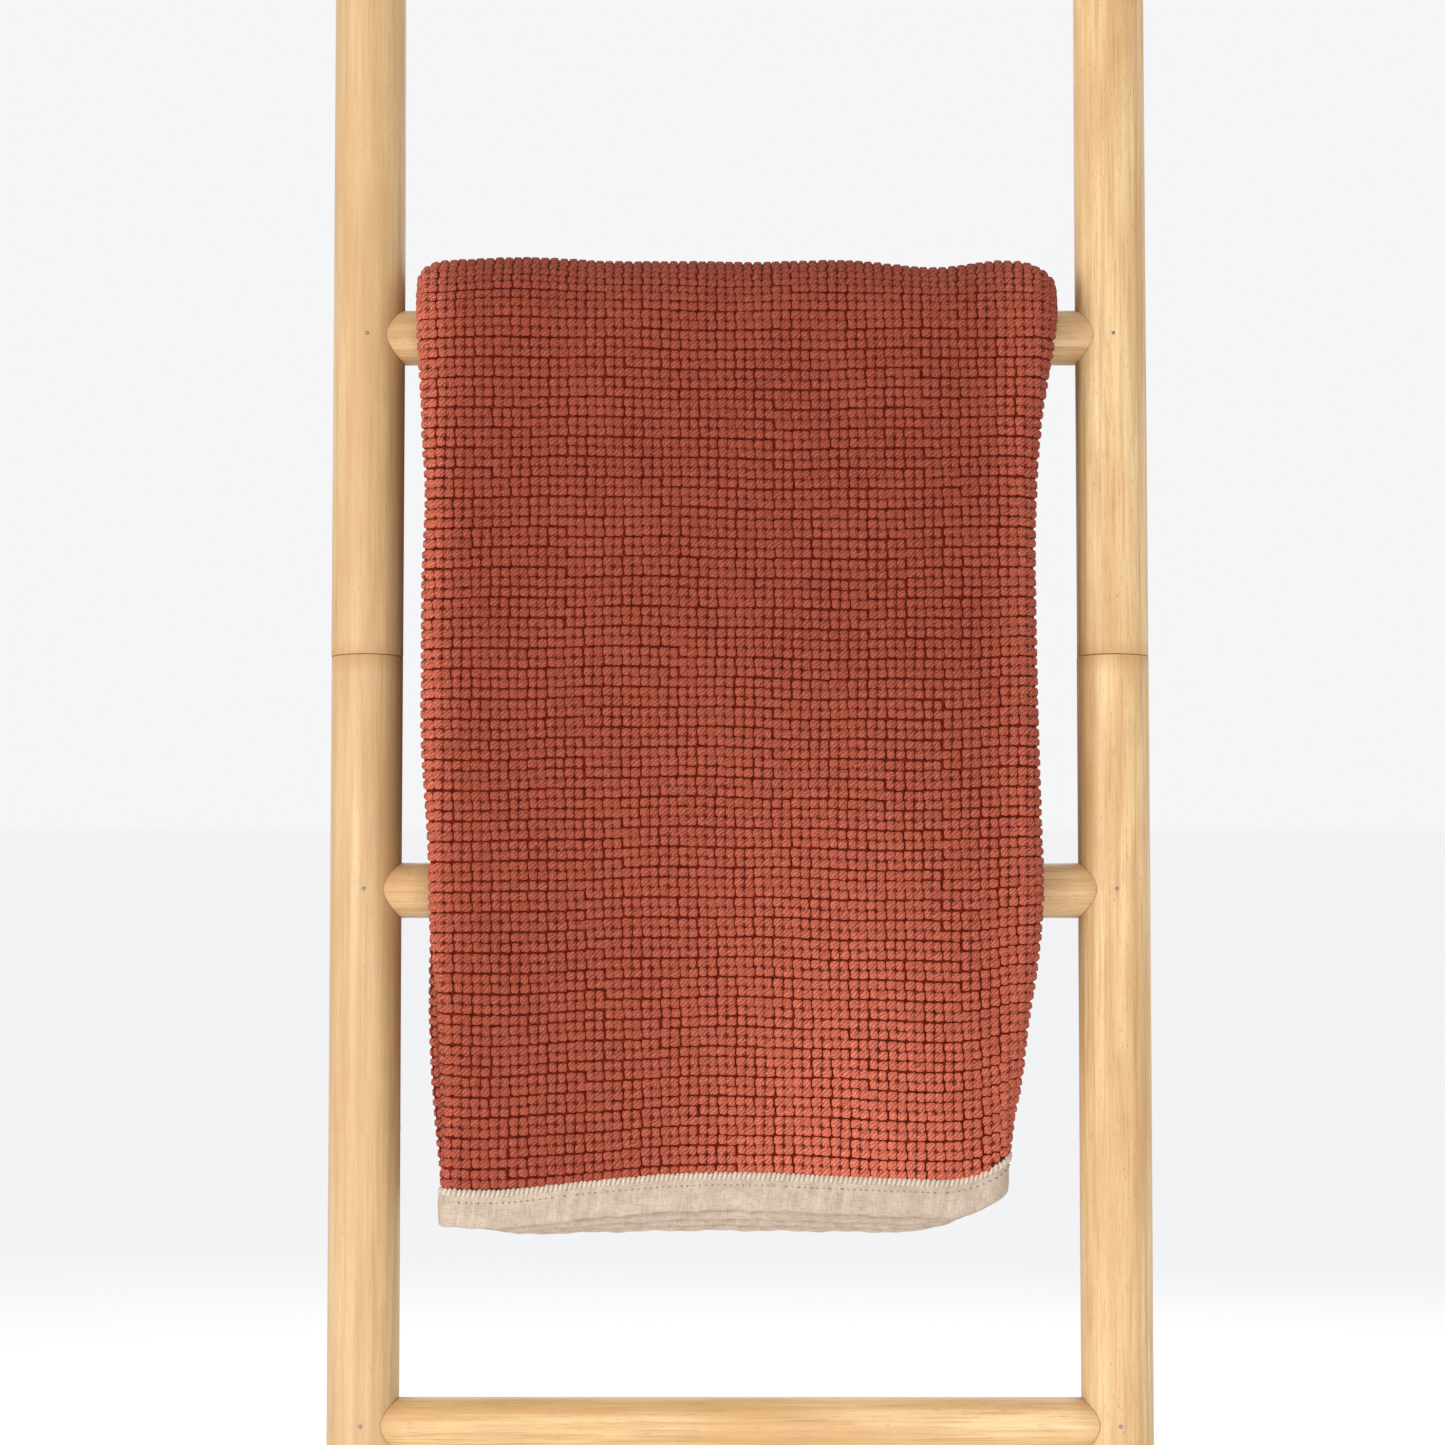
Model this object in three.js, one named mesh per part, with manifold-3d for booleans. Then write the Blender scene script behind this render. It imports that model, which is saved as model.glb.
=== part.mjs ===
// A bamboo blanket ladder that leans on a wall, with a folded cotton throw hung over its third rung.
//
// Millimetres, +Z up. X runs across the ladder, the viewer stands at -Y and the wall is at +Y.
// The ladder is drawn upright in its own frame (Z along the poles, -Y its front) and the whole
// frame is then leaned back. The throw hangs by gravity, so it is drawn in the leaned world.
// The origin is the centre of the footprint, on the floor.

import * as THREE from 'three';
import { mergeVertices } from 'three/addons/utils/BufferGeometryUtils.js';
import Module from 'manifold-3d';

const wasm = await Module();
wasm.setup();

// ---- Driving dimensions ---------------------------------------------------------------------

const CLEARANCE = 0.3; // between pieces that touch

const LADDER_WIDTH = 500; // over both poles
const LEAN_DEG = 5; // the poles' angle from upright
const LOWER_LENGTH = 750; // from the floor to the seam, along the pole
const UPPER_LENGTH = 750; // from the seam to the top, along the pole
const POLE_DIAMETER = 44;
const POLE_LUMEN = 14; // the culm's own hollow

const RUNG_DIAMETER = 34;
const RUNG_LUMEN = 10;
const RUNG_FORWARD = 2; // rung axis in front of the plane of the pole axes
const RUNGS_BELOW_SEAM = [466, 143]; // rung axes, from the seam down along the pole
const RUNGS_ABOVE_SEAM = [197, 537]; // the same, from the seam up

const DOWEL_DIAMETER = 16;
const DOWEL_IN_RUNG = 40;
const DOWEL_PAST_AXIS = 6; // how far a dowel reaches beyond the pole's axis

const SPIGOT_DIAMETER = 24;
const SPIGOT_LENGTH = 160;
const SCREW_DIAMETER = 4;
const SCREW_LENGTH = 32;
const SCREW_FROM_SEAM = 45;

const PIN_DIAMETER = 2.2;
const PIN_LENGTH = 24;

const QUILT_RUNG = 3; // the rung that the throw hangs on, counted from the floor
const QUILT_THICKNESS = 29; // four leaves of cloth
const QUILT_ON_RUNG = 0.4; // between the cloth and the rungs that it lies on
const FRONT_DROP = 541; // from the rung's axis to the lowest edge in front
const BACK_DROP = 526; // the same behind
const BINDING_HEIGHT = 25;
const BINDING_INSET = 1; // from each face of the folded cloth
const LEFT_GAP = 12; // from the folded throw to the left pole, at its rung
const RIGHT_GAP = 15; // the same on the right
const LEFT_TAPER = 14; // how much further in the left edge is at its lowest end
const RIGHT_WAIST = 11; // how much further in the right edge is at its waist
const RIGHT_TAPER = 29; // and at its lowest end
const WAIST_START = 80; // below the rung's axis
const WAIST_END = 380;
const SHOULDER_RADIUS = 14;

const POLE_SIDES = 32;
const DOWEL_SIDES = 16;
const PIN_SIDES = 10;
const ARC_STEPS = 14;

// ---- What follows from them -----------------------------------------------------------------

const LEAN = THREE.MathUtils.degToRad(LEAN_DEG);
const POLE_X = (LADDER_WIDTH - POLE_DIAMETER) / 2;
const LADDER_LENGTH = LOWER_LENGTH + UPPER_LENGTH;
const SIDES = { left: -1, right: 1 };
const POLE_GAP = LADDER_WIDTH / 2 - POLE_DIAMETER; // from the middle to a pole's inner side
const RUNG_HEIGHTS = [
  ...RUNGS_BELOW_SEAM.map((below) => LOWER_LENGTH - below),
  ...RUNGS_ABOVE_SEAM.map((above) => LOWER_LENGTH + above),
];

// ---- Materials ------------------------------------------------------------------------------

const finish = (color, roughness, metalness = 0) => new THREE.MeshStandardMaterial({ color, roughness, metalness });
const BAMBOO = finish('#ddb98e', 0.45);
const BEECH = finish('#cfae84', 0.7);
const STEEL = finish('#8d8a84', 0.4, 1);
const COTTON = finish('#9d4733', 0.95);
const LINEN = finish('#d6c1ae', 0.95);

// ---- Solids ---------------------------------------------------------------------------------

const vec = (x, y, z) => new THREE.Vector3(x, y, z);

/** A closed three.js geometry as a solid that can be cut and joined. */
function solidOf(geometry) {
  const bare = geometry.clone();
  bare.deleteAttribute('normal');
  bare.deleteAttribute('uv');
  const merged = mergeVertices(bare, 1e-4);
  const corners = merged.index.array;
  const kept = [];
  for (let i = 0; i < corners.length; i += 3) {
    const [a, b, c] = corners.slice(i, i + 3);
    if (a !== b && b !== c && c !== a) kept.push(a, b, c); // a lathe leaves flat triangles on its axis
  }
  return new wasm.Manifold(new wasm.Mesh({
    numProp: 3,
    vertProperties: Float32Array.from(merged.attributes.position.array),
    triVerts: Uint32Array.from(kept),
  }));
}

/** The geometry of a solid. */
function geometryOf(solid) {
  const mesh = solid.getMesh();
  const geometry = new THREE.BufferGeometry();
  geometry.setAttribute('position', new THREE.BufferAttribute(Float32Array.from(mesh.vertProperties), 3));
  geometry.setIndex(new THREE.BufferAttribute(Uint32Array.from(mesh.triVerts), 1));
  geometry.computeVertexNormals();
  return geometry;
}

/** Turns a geometry drawn along +Y so that it starts at one point and runs towards another. */
function aim(geometry, start, end) {
  const along = end.clone().sub(start).normalize();
  const turn = new THREE.Quaternion().setFromUnitVectors(vec(0, 1, 0), along);
  return geometry.applyQuaternion(turn).translate(start.x, start.y, start.z);
}

/** A round bar between two points. */
function rod(diameter, start, end, sides) {
  const length = start.distanceTo(end);
  const bar = new THREE.CylinderGeometry(diameter / 2, diameter / 2, length, sides).translate(0, length / 2, 0);
  return solidOf(aim(bar, start, end));
}

/** A turned piece: its profile is a list of [radius, distance along] and starts and ends on the axis. */
function turned(profile, start, end, sides) {
  const points = profile.map(([radius, along]) => new THREE.Vector2(radius, along));
  return solidOf(aim(new THREE.LatheGeometry(points, sides), start, end));
}

const cutAll = (solid, cutters) => cutters.reduce((rest, cutter) => rest.subtract(cutter), solid);

/** Adds a named piece to a group. */
function addPiece(group, name, solid, material) {
  const mesh = new THREE.Mesh(geometryOf(solid), material);
  mesh.name = name;
  group.add(mesh);
}

// ---- The ladder, upright in its own frame ---------------------------------------------------

/** The length of pole between two heights, grown on every side by a clearance. */
const poleRod = (x, low, high, grow = 0) =>
  rod(POLE_DIAMETER + 2 * grow, vec(x, 0, low), vec(x, 0, high), POLE_SIDES);

/** A rung's dowel, or the hole for it. It runs from inside the rung to just past the pole's axis. */
function dowelRod(side, height, grow = 0) {
  const inner = side * (POLE_GAP - DOWEL_IN_RUNG - grow);
  const outer = side * (POLE_X + DOWEL_PAST_AXIS + grow);
  const y = -RUNG_FORWARD;
  return rod(DOWEL_DIAMETER + 2 * grow, vec(inner, y, height), vec(outer, y, height), DOWEL_SIDES);
}

/** A headed pin driven through the pole's front into the dowel, or the hole for it. */
function pinSolid(side, height, grow = 0) {
  const shank = PIN_DIAMETER / 2 + grow;
  const head = PIN_DIAMETER * 0.8 + grow;
  const headHeight = 1 + grow;
  const length = PIN_LENGTH + grow;
  const mouth = grow > 0 ? 2 : 0; // the hole runs out through the pole's curved face
  const start = vec(side * POLE_X, CLEARANCE - POLE_DIAMETER / 2, height);
  const end = start.clone().add(vec(0, 1, 0));
  const profile = [[0, -mouth], [head, -mouth], [head, headHeight], [shank, headHeight], [shank, length], [0, length]];
  return turned(profile, start, end, PIN_SIDES);
}

/** The dowel inside both lengths of a pole, or the socket for it. */
function spigotRod(side, grow = 0) {
  const x = side * POLE_X;
  const half = SPIGOT_LENGTH / 2 + grow;
  return rod(SPIGOT_DIAMETER + 2 * grow, vec(x, 0, LOWER_LENGTH - half), vec(x, 0, LOWER_LENGTH + half), POLE_SIDES);
}

/** A countersunk screw from the pole's back into its spigot, or the hole for it. */
function screwSolid(side, offset, grow = 0) {
  const shank = SCREW_DIAMETER / 2 + grow;
  const head = SCREW_DIAMETER + grow;
  const length = SCREW_LENGTH + grow;
  const mouth = grow > 0 ? 2 : 0;
  const start = vec(side * POLE_X, POLE_DIAMETER / 2 - CLEARANCE, LOWER_LENGTH + offset);
  const end = start.clone().add(vec(0, -1, 0));
  const neck = SCREW_DIAMETER;
  const profile = [[0, -mouth], [head, -mouth], [head, 0], [shank, neck], [shank, length], [0, length]];
  return turned(profile, start, end, DOWEL_SIDES);
}

/** Everything that is cut from a length of pole: its hollow, its socket and the holes of its fittings. */
function poleCutters(side, low, high) {
  const x = side * POLE_X;
  const cutters = [rod(POLE_LUMEN, vec(x, 0, low - 10), vec(x, 0, high + 10), DOWEL_SIDES), spigotRod(side, CLEARANCE)];
  for (const height of RUNG_HEIGHTS) {
    cutters.push(dowelRod(side, height, CLEARANCE), pinSolid(side, height, CLEARANCE));
  }
  for (const offset of [-SCREW_FROM_SEAM, SCREW_FROM_SEAM]) {
    cutters.push(screwSolid(side, offset, CLEARANCE));
  }
  return cutters;
}

/** Everything below the floor that the leaned ladder stands on, in the upright frame. */
function belowFloor() {
  const size = 2 * LADDER_WIDTH;
  const block = new THREE.BoxGeometry(size, size, size).translate(0, 0, -size / 2);
  return solidOf(block.rotateX(LEAN));
}

/** One length of pole, with its foot cut level where it meets the floor. */
function pole(side, low, high) {
  const solid = cutAll(poleRod(side * POLE_X, low, high), poleCutters(side, low, high));
  return low < 0 ? solid.subtract(belowFloor()) : solid;
}

/** A rung, coped to both poles, with a socket in each end. */
function rung(height) {
  const y = -RUNG_FORWARD;
  const bar = (diameter, sides) => rod(diameter, vec(-POLE_X, y, height), vec(POLE_X, y, height), sides);
  const low = height - RUNG_DIAMETER;
  const high = height + RUNG_DIAMETER;
  const cutters = [bar(RUNG_LUMEN, DOWEL_SIDES)];
  for (const side of Object.values(SIDES)) {
    cutters.push(poleRod(side * POLE_X, low, high, CLEARANCE), dowelRod(side, height, CLEARANCE));
  }
  return cutAll(bar(RUNG_DIAMETER, POLE_SIDES), cutters);
}

function buildLadder() {
  const ladder = new THREE.Group();
  const footTrim = POLE_DIAMETER * Math.tan(LEAN); // below the level foot, before it is cut
  for (const [word, side] of Object.entries(SIDES)) {
    addPiece(ladder, `pole_${word}_lower`, pole(side, -footTrim, LOWER_LENGTH - CLEARANCE / 2), BAMBOO);
    addPiece(ladder, `pole_${word}_upper`, pole(side, LOWER_LENGTH + CLEARANCE / 2, LADDER_LENGTH), BAMBOO);
    const screws = { lower: -SCREW_FROM_SEAM, upper: SCREW_FROM_SEAM };
    const screwHoles = Object.values(screws).map((offset) => screwSolid(side, offset, CLEARANCE));
    addPiece(ladder, `spigot_${word}`, cutAll(spigotRod(side), screwHoles), BEECH);
    for (const [end, offset] of Object.entries(screws)) {
      addPiece(ladder, `spigot_screw_${word}_${end}`, screwSolid(side, offset), STEEL);
    }
  }
  RUNG_HEIGHTS.forEach((height, index) => {
    const number = index + 1;
    addPiece(ladder, `rung_${number}`, rung(height), BAMBOO);
    for (const [word, side] of Object.entries(SIDES)) {
      const dowel = dowelRod(side, height).subtract(pinSolid(side, height, CLEARANCE));
      addPiece(ladder, `rung_${number}_dowel_${word}`, dowel, BEECH);
      addPiece(ladder, `rung_${number}_pin_${word}`, pinSolid(side, height), STEEL);
    }
  });
  ladder.rotation.x = -LEAN;
  return ladder;
}

// ---- The throw, hanging in the leaned world -------------------------------------------------

/** Where a rung's axis is once the ladder leans, as a point of the YZ plane. */
function rungPlace(number) {
  const axis = vec(0, -RUNG_FORWARD, RUNG_HEIGHTS[number - 1]).applyAxisAngle(vec(1, 0, 0), -LEAN);
  return new THREE.Vector2(axis.y, axis.z);
}

/** The lowest rung that the front drop lies on: the last one whose top is above the drop's end. */
function lowestRungReached(near) {
  const end = rungPlace(QUILT_RUNG).y - FRONT_DROP;
  const numbers = RUNG_HEIGHTS.map((_, index) => index + 1);
  return numbers.find((number) => number === QUILT_RUNG || rungPlace(number).y + near > end);
}

/**
 * The throw's side view between two distances from the rungs' axes: up the back from the floor, over
 * its rung, along the ladder's slope to the last rung that it reaches, then straight down to the floor.
 */
function drapeShape(near, far) {
  const over = rungPlace(QUILT_RUNG);
  const below = rungPlace(lowestRungReached(near));
  const slope = Math.PI - LEAN; // the direction from a rung's axis to where the cloth leaves it in front
  const shape = new THREE.Shape();
  shape.moveTo(over.x + far, 0);
  shape.lineTo(over.x + far, over.y); // an arc that comes first would not be joined to the start
  shape.absarc(over.x, over.y, far, 0, slope, false);
  shape.absarc(below.x, below.y, far, slope, Math.PI, false);
  shape.lineTo(below.x - far, 0);
  shape.lineTo(below.x - near, 0);
  shape.absarc(below.x, below.y, near, Math.PI, slope, true);
  shape.absarc(over.x, over.y, near, slope, 0, true);
  shape.lineTo(over.x + near, 0);
  shape.closePath();
  return shape;
}

/** The throw's front view: square shoulders with a small round, a waist on the right, narrower ends. */
function outlineShape() {
  const axis = rungPlace(QUILT_RUNG).y;
  const top = axis + RUNG_DIAMETER / 2 + QUILT_ON_RUNG + QUILT_THICKNESS;
  const end = axis - Math.max(FRONT_DROP, BACK_DROP);
  const round = SHOULDER_RADIUS;
  const left = POLE_GAP - LEFT_GAP;
  const right = POLE_GAP - RIGHT_GAP;
  const shape = new THREE.Shape();
  shape.moveTo(LEFT_TAPER - left, end);
  shape.lineTo(right - RIGHT_TAPER, end);
  shape.lineTo(right - RIGHT_WAIST, axis - WAIST_END);
  shape.lineTo(right - RIGHT_WAIST, axis - WAIST_START);
  shape.lineTo(right, axis);
  shape.absarc(right - round, top - round, round, 0, Math.PI / 2, false);
  shape.absarc(round - left, top - round, round, Math.PI / 2, Math.PI, false);
  shape.closePath();
  return shape;
}

/** Extrudes a shape of the YZ plane across the whole ladder. */
function acrossLadder(shape) {
  const geometry = new THREE.ExtrudeGeometry(shape, {
    depth: LADDER_WIDTH, bevelEnabled: false, curveSegments: ARC_STEPS,
  });
  const axes = new THREE.Matrix4().makeBasis(vec(0, 1, 0), vec(0, 0, 1), vec(1, 0, 0));
  return solidOf(geometry.applyMatrix4(axes).translate(-LADDER_WIDTH / 2, 0, 0));
}

/** Extrudes a shape of the XZ plane from front to back. */
function frontToBack(shape) {
  const geometry = new THREE.ExtrudeGeometry(shape, {
    depth: LADDER_LENGTH, bevelEnabled: false, curveSegments: ARC_STEPS,
  });
  const axes = new THREE.Matrix4().makeBasis(vec(1, 0, 0), vec(0, 0, 1), vec(0, -1, 0));
  return solidOf(geometry.applyMatrix4(axes).translate(0, LADDER_LENGTH / 2, 0));
}

/** All that lies between two heights, in front of the throw's rung or behind it. */
function level(side, low, high) {
  const deep = LADDER_LENGTH;
  const block = new THREE.BoxGeometry(2 * LADDER_WIDTH, deep, high - low);
  return solidOf(block.translate(0, rungPlace(QUILT_RUNG).x + side * deep / 2, (low + high) / 2));
}

function buildThrow() {
  const throwGroup = new THREE.Group();
  const axis = rungPlace(QUILT_RUNG).y;
  const near = RUNG_DIAMETER / 2 + QUILT_ON_RUNG;
  const far = near + QUILT_THICKNESS;
  const outline = frontToBack(outlineShape());
  const ends = {
    front: { side: -1, low: axis - FRONT_DROP },
    back: { side: 1, low: axis - BACK_DROP },
  };
  const belowCloth = Object.values(ends).map(({ side, low }) => level(side, -1, low + BINDING_HEIGHT));
  const cloth = acrossLadder(drapeShape(near, far)).intersect(outline);
  addPiece(throwGroup, 'quilt_cloth', cutAll(cloth, belowCloth), COTTON);

  const hem = acrossLadder(drapeShape(near + BINDING_INSET, far - BINDING_INSET)).intersect(outline);
  for (const [word, { side, low }] of Object.entries(ends)) {
    const band = level(side, low, low + BINDING_HEIGHT - CLEARANCE);
    addPiece(throwGroup, `quilt_binding_${word}`, hem.intersect(band), LINEN);
  }
  return throwGroup;
}

// ---- The part, stood on the centre of its footprint -----------------------------------------

const part = new THREE.Group();
part.add(buildLadder(), buildThrow());
const box = new THREE.Box3().setFromObject(part, true);
const middle = box.getCenter(new THREE.Vector3());
part.position.set(-middle.x, -middle.y, -box.min.z);

export default part;
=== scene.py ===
"""A bamboo blanket ladder with a folded cotton throw over its third rung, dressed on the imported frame.

Metres, +Z up. The viewer stands at -Y and the wall that the ladder leans on would be at +Y.
"""
import logging
import math
from dataclasses import dataclass, field
from enum import Enum
from typing import Any, Iterable, Sequence

import bmesh
import bpy
import numpy as np
from mathutils import Matrix, Vector


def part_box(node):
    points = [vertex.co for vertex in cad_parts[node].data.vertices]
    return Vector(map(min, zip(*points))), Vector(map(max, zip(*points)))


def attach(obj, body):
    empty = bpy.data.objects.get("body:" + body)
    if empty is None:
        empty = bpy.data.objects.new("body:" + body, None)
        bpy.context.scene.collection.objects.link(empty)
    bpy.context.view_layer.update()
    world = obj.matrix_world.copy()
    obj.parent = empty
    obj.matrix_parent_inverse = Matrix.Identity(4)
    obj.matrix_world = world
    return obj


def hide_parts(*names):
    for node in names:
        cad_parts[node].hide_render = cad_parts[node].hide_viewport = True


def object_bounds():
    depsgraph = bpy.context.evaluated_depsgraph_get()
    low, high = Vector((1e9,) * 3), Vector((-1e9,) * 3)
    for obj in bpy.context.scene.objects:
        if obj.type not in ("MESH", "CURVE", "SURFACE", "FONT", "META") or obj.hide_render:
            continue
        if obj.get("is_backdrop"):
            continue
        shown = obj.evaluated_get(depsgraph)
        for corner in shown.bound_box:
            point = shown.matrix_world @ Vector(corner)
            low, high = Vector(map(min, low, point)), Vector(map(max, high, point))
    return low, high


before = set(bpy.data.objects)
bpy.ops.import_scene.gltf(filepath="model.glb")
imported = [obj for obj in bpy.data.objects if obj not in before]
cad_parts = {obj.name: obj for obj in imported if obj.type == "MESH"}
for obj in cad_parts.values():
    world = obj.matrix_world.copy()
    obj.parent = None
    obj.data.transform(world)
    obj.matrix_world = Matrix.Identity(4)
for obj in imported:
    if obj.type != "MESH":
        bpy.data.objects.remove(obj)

CAD_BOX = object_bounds()
log = logging.getLogger("quilt_on_rack")
Colour = tuple[float, float, float]
Table = tuple[tuple[float, ...], ...]
Array = np.ndarray
MM = 0.001


# ---- Nodes and shader maths ----------------------------------------------------------------------


def feed(tree: bpy.types.NodeTree, node: bpy.types.Node, inputs: dict[Any, Any]) -> None:
    """Gives a node's sockets their values or links.

    Args:
        tree: The tree that holds the node.
        node: The node.
        inputs: Values, sockets or wires by the name or number of their socket.
    """
    for key, value in inputs.items():
        value = value.socket if isinstance(value, Wire) else value
        if isinstance(value, bpy.types.NodeSocket):
            tree.links.new(value, node.inputs[key])
        elif node.inputs[key].type == "RGBA":
            node.inputs[key].default_value = (*value, 1.0)
        else:
            node.inputs[key].default_value = value


def add_node(
    tree: bpy.types.NodeTree, kind: str, settings: dict[str, Any] | None = None, inputs: dict[Any, Any] | None = None
) -> bpy.types.Node:
    """Adds one node to a tree.

    Args:
        tree: The tree.
        kind: The node's type.
        settings: Its settings, set first.
        inputs: Values, sockets or wires by the name or number of their socket.
    Returns:
        The node.
    """
    node = tree.nodes.new(kind)
    for key, value in (settings or {}).items():
        setattr(node, key, value)
    feed(tree, node, inputs or {})
    return node


class Wire:
    """An output of a shader node that can be used in sums."""

    def __init__(self, shader: "Shader", socket: bpy.types.NodeSocket) -> None:
        """Keeps the socket and the shader that it belongs to."""
        self.shader, self.socket = shader, socket

    def _math(self, operation: str, *others: "Wire | float", flip: bool = False) -> "Wire":
        """Adds a Math node.

        Args:
            operation: The Math node's operation.
            others: What follows this wire in the sum.
            flip: Whether this wire comes last instead of first.
        Returns:
            The wire of the result.
        """
        terms = [*others, self] if flip else [self, *others]
        return self.shader.wire("ShaderNodeMath", 0, {"operation": operation}, dict(enumerate(terms)))

    def __add__(self, other: "Wire | float") -> "Wire":
        """This plus another."""
        return self._math("ADD", other)

    def __mul__(self, other: "Wire | float") -> "Wire":
        """This times another."""
        return self._math("MULTIPLY", other)

    def __sub__(self, other: "Wire | float") -> "Wire":
        """This minus another."""
        return self._math("SUBTRACT", other)

    def __rsub__(self, other: "Wire | float") -> "Wire":
        """Another minus this."""
        return self._math("SUBTRACT", other, flip=True)

    def __pow__(self, other: "Wire | float") -> "Wire":
        """This to a power."""
        return self._math("POWER", other)

    __radd__, __rmul__ = __add__, __mul__

    def sine(self) -> "Wire":
        """The sine of this."""
        return self._math("SINE")

    def over(self, low: float, high: float) -> "Wire":
        """How far this is from low, which gives 0, to high, which gives 1, with soft ends."""
        limits = {"Value": self, "From Min": low, "From Max": high, "To Min": 0.0, "To Max": 1.0}
        return self.shader.wire("ShaderNodeMapRange", 0, {"interpolation_type": "SMOOTHSTEP"}, limits)


class Shader:
    """A material under construction."""

    def __init__(self, name: str) -> None:
        """Starts a material with a Principled shader and nothing else."""
        self.material = bpy.data.materials.new(name)
        self.material.use_nodes = True
        self.tree = self.material.node_tree
        self.tree.nodes.clear()
        self.principled = add_node(self.tree, "ShaderNodeBsdfPrincipled")
        add_node(self.tree, "ShaderNodeOutputMaterial", {}, {"Surface": self.principled.outputs[0]})

    def wire(
        self, kind: str, output: "int | str", settings: dict[str, Any] | None = None,
        inputs: dict[Any, Any] | None = None,
    ) -> Wire:
        """Adds one node and gives one of its outputs.

        Args:
            kind: The node's type.
            output: The output's name or number.
            settings: The node's settings.
            inputs: Values or wires by the name or number of their socket.
        Returns:
            The output's wire.
        """
        return Wire(self, add_node(self.tree, kind, settings, inputs).outputs[output])

    def attribute(self, name: str, output: str = "Vector") -> Wire:
        """A mesh attribute, as a vector or, with output Fac, as a number."""
        return self.wire("ShaderNodeAttribute", output, {"attribute_name": name})

    def place(self) -> Wire:
        """Object coordinates."""
        return self.wire("ShaderNodeTexCoord", "Object")

    def spot(self) -> tuple[Wire, Wire]:
        """A repeated piece's own UV map: along and across."""
        spot = self.wire("ShaderNodeUVMap", 0, {"uv_map": "UVMap"})
        along = self.wire("ShaderNodeSeparateXYZ", 0, {}, {0: spot})
        return along, self.wire("ShaderNodeSeparateXYZ", 1, {}, {0: spot})

    def noise(
        self, vector: Wire, scale: "float | tuple[float, float, float]", detail: float = 2.0, rough: float = 0.5
    ) -> Wire:
        """Noise, from 0 to 1.

        Args:
            vector: Where to read it.
            scale: Its scale, or one for each axis.
            detail: How many octaves it has.
            rough: How strong the fine octaves are.
        Returns:
            The wire of the noise.
        """
        if isinstance(scale, tuple):
            vector, scale = self.stretched(vector, scale), 1.0
        values = {"Vector": vector, "Scale": scale, "Detail": detail, "Roughness": rough}
        return self.wire("ShaderNodeTexNoise", "Fac", {"noise_dimensions": "3D"}, values)

    def stretched(self, vector: Wire, scale: tuple[float, float, float]) -> Wire:
        """A vector times a scale for each axis."""
        return self.wire("ShaderNodeVectorMath", 0, {"operation": "MULTIPLY"}, {0: vector, 1: scale})

    def spots(self, vector: Wire, scale: tuple[float, float, float]) -> Wire:
        """The distance to the nearest of many scattered points."""
        values = {"Vector": self.stretched(vector, scale), "Scale": 1.0}
        return self.wire("ShaderNodeTexVoronoi", "Distance", {"feature": "F1", "distance": "EUCLIDEAN"}, values)

    def mix(self, factor: "Wire | float", first: "Wire | Colour", second: "Wire | Colour") -> Wire:
        """A colour between two, from the first at factor 0 to the second at 1."""
        return self.wire("ShaderNodeMix", 2, {"data_type": "RGBA"}, {0: factor, 6: first, 7: second})

    def bump(self, height: Wire, distance: float, strength: float = 1.0) -> None:
        """Bends the shader's normal by a height."""
        values = {"Strength": strength, "Distance": distance, "Height": height}
        feed(self.tree, self.principled, {"Normal": self.wire("ShaderNodeBump", 0, {}, values)})

    def finish(self, colour: "Wire | Colour", roughness: "Wire | float", **fixed: Any) -> bpy.types.Material:
        """Connects the colour and the roughness.

        Args:
            colour: The base colour.
            roughness: The roughness.
            fixed: Other values of the Principled shader, with _ for each space in their names.
        Returns:
            The material.
        """
        others = {key.replace("_", " "): value for key, value in fixed.items()}
        feed(self.tree, self.principled, {"Base Color": colour, "Roughness": roughness, **others})
        return self.material


# ---- Finishes ------------------------------------------------------------------------------------


@dataclass(frozen=True)
class BambooFinish:
    """Sanded bamboo with a satin lacquer: long fibres, fine vessel dashes, a few dark specks."""

    name: str = "bamboo"
    pale: Colour = (0.705, 0.505, 0.260)
    warm: Colour = (0.50, 0.280, 0.108)
    fibre: Colour = (0.38, 0.190, 0.066)
    dull: Colour = (0.405, 0.250, 0.120)
    speck: Colour = (0.12, 0.05, 0.02)

    def build(self) -> bpy.types.Material:
        """Makes the material. It reads the attributes grain, a place in the cane, one for wear with painted shade, and
        cane, its dullness.
        """
        shader = Shader(self.name)
        grain, wear = shader.attribute("grain"), shader.attribute("wear", "Fac")
        broad = shader.noise(grain, (45, 45, 6))
        mottle = shader.noise(grain, (120, 120, 40), detail=3)
        bands = shader.noise(grain, (230, 230, 7), detail=3)
        fibres = shader.noise(grain, (800, 800, 18), detail=3, rough=0.65)
        dashes = shader.noise(grain, (2100, 2100, 130), detail=1)
        gate = shader.noise(grain, (60, 60, 22), detail=1)
        specks = shader.spots(grain, (310, 310, 95)).over(0.13, 0.05) * gate.over(0.5, 0.62)
        base = shader.mix(broad.over(0.3, 0.72) * 0.8, self.pale, self.warm)
        layers = (
            (mottle.over(0.50, 0.78) * 0.30, self.dull), (bands.over(0.42, 0.68) * 0.72, self.warm),
            (fibres.over(0.48, 0.74) * 0.60, self.fibre), (dashes.over(0.60, 0.76) * 0.6, self.fibre),
            (specks * 0.55, self.speck), (shader.attribute("cane", "Fac") * 0.5, self.dull),
            # marks round the nodes and worn ends, with painted shade inside the hollow and around the rungs' joints
            (wear * 0.55, self.fibre),
        )
        for share, colour in layers:
            base = shader.mix(share, base, colour)
        shader.bump(fibres * 0.6 + dashes * 0.4, 0.00012, 0.6)
        rough = 0.42 + bands * 0.12 + wear * 0.2
        return shader.finish(base, rough, Coat_Weight=0.22, Coat_Roughness=0.3, Specular_IOR_Level=0.4)


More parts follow.
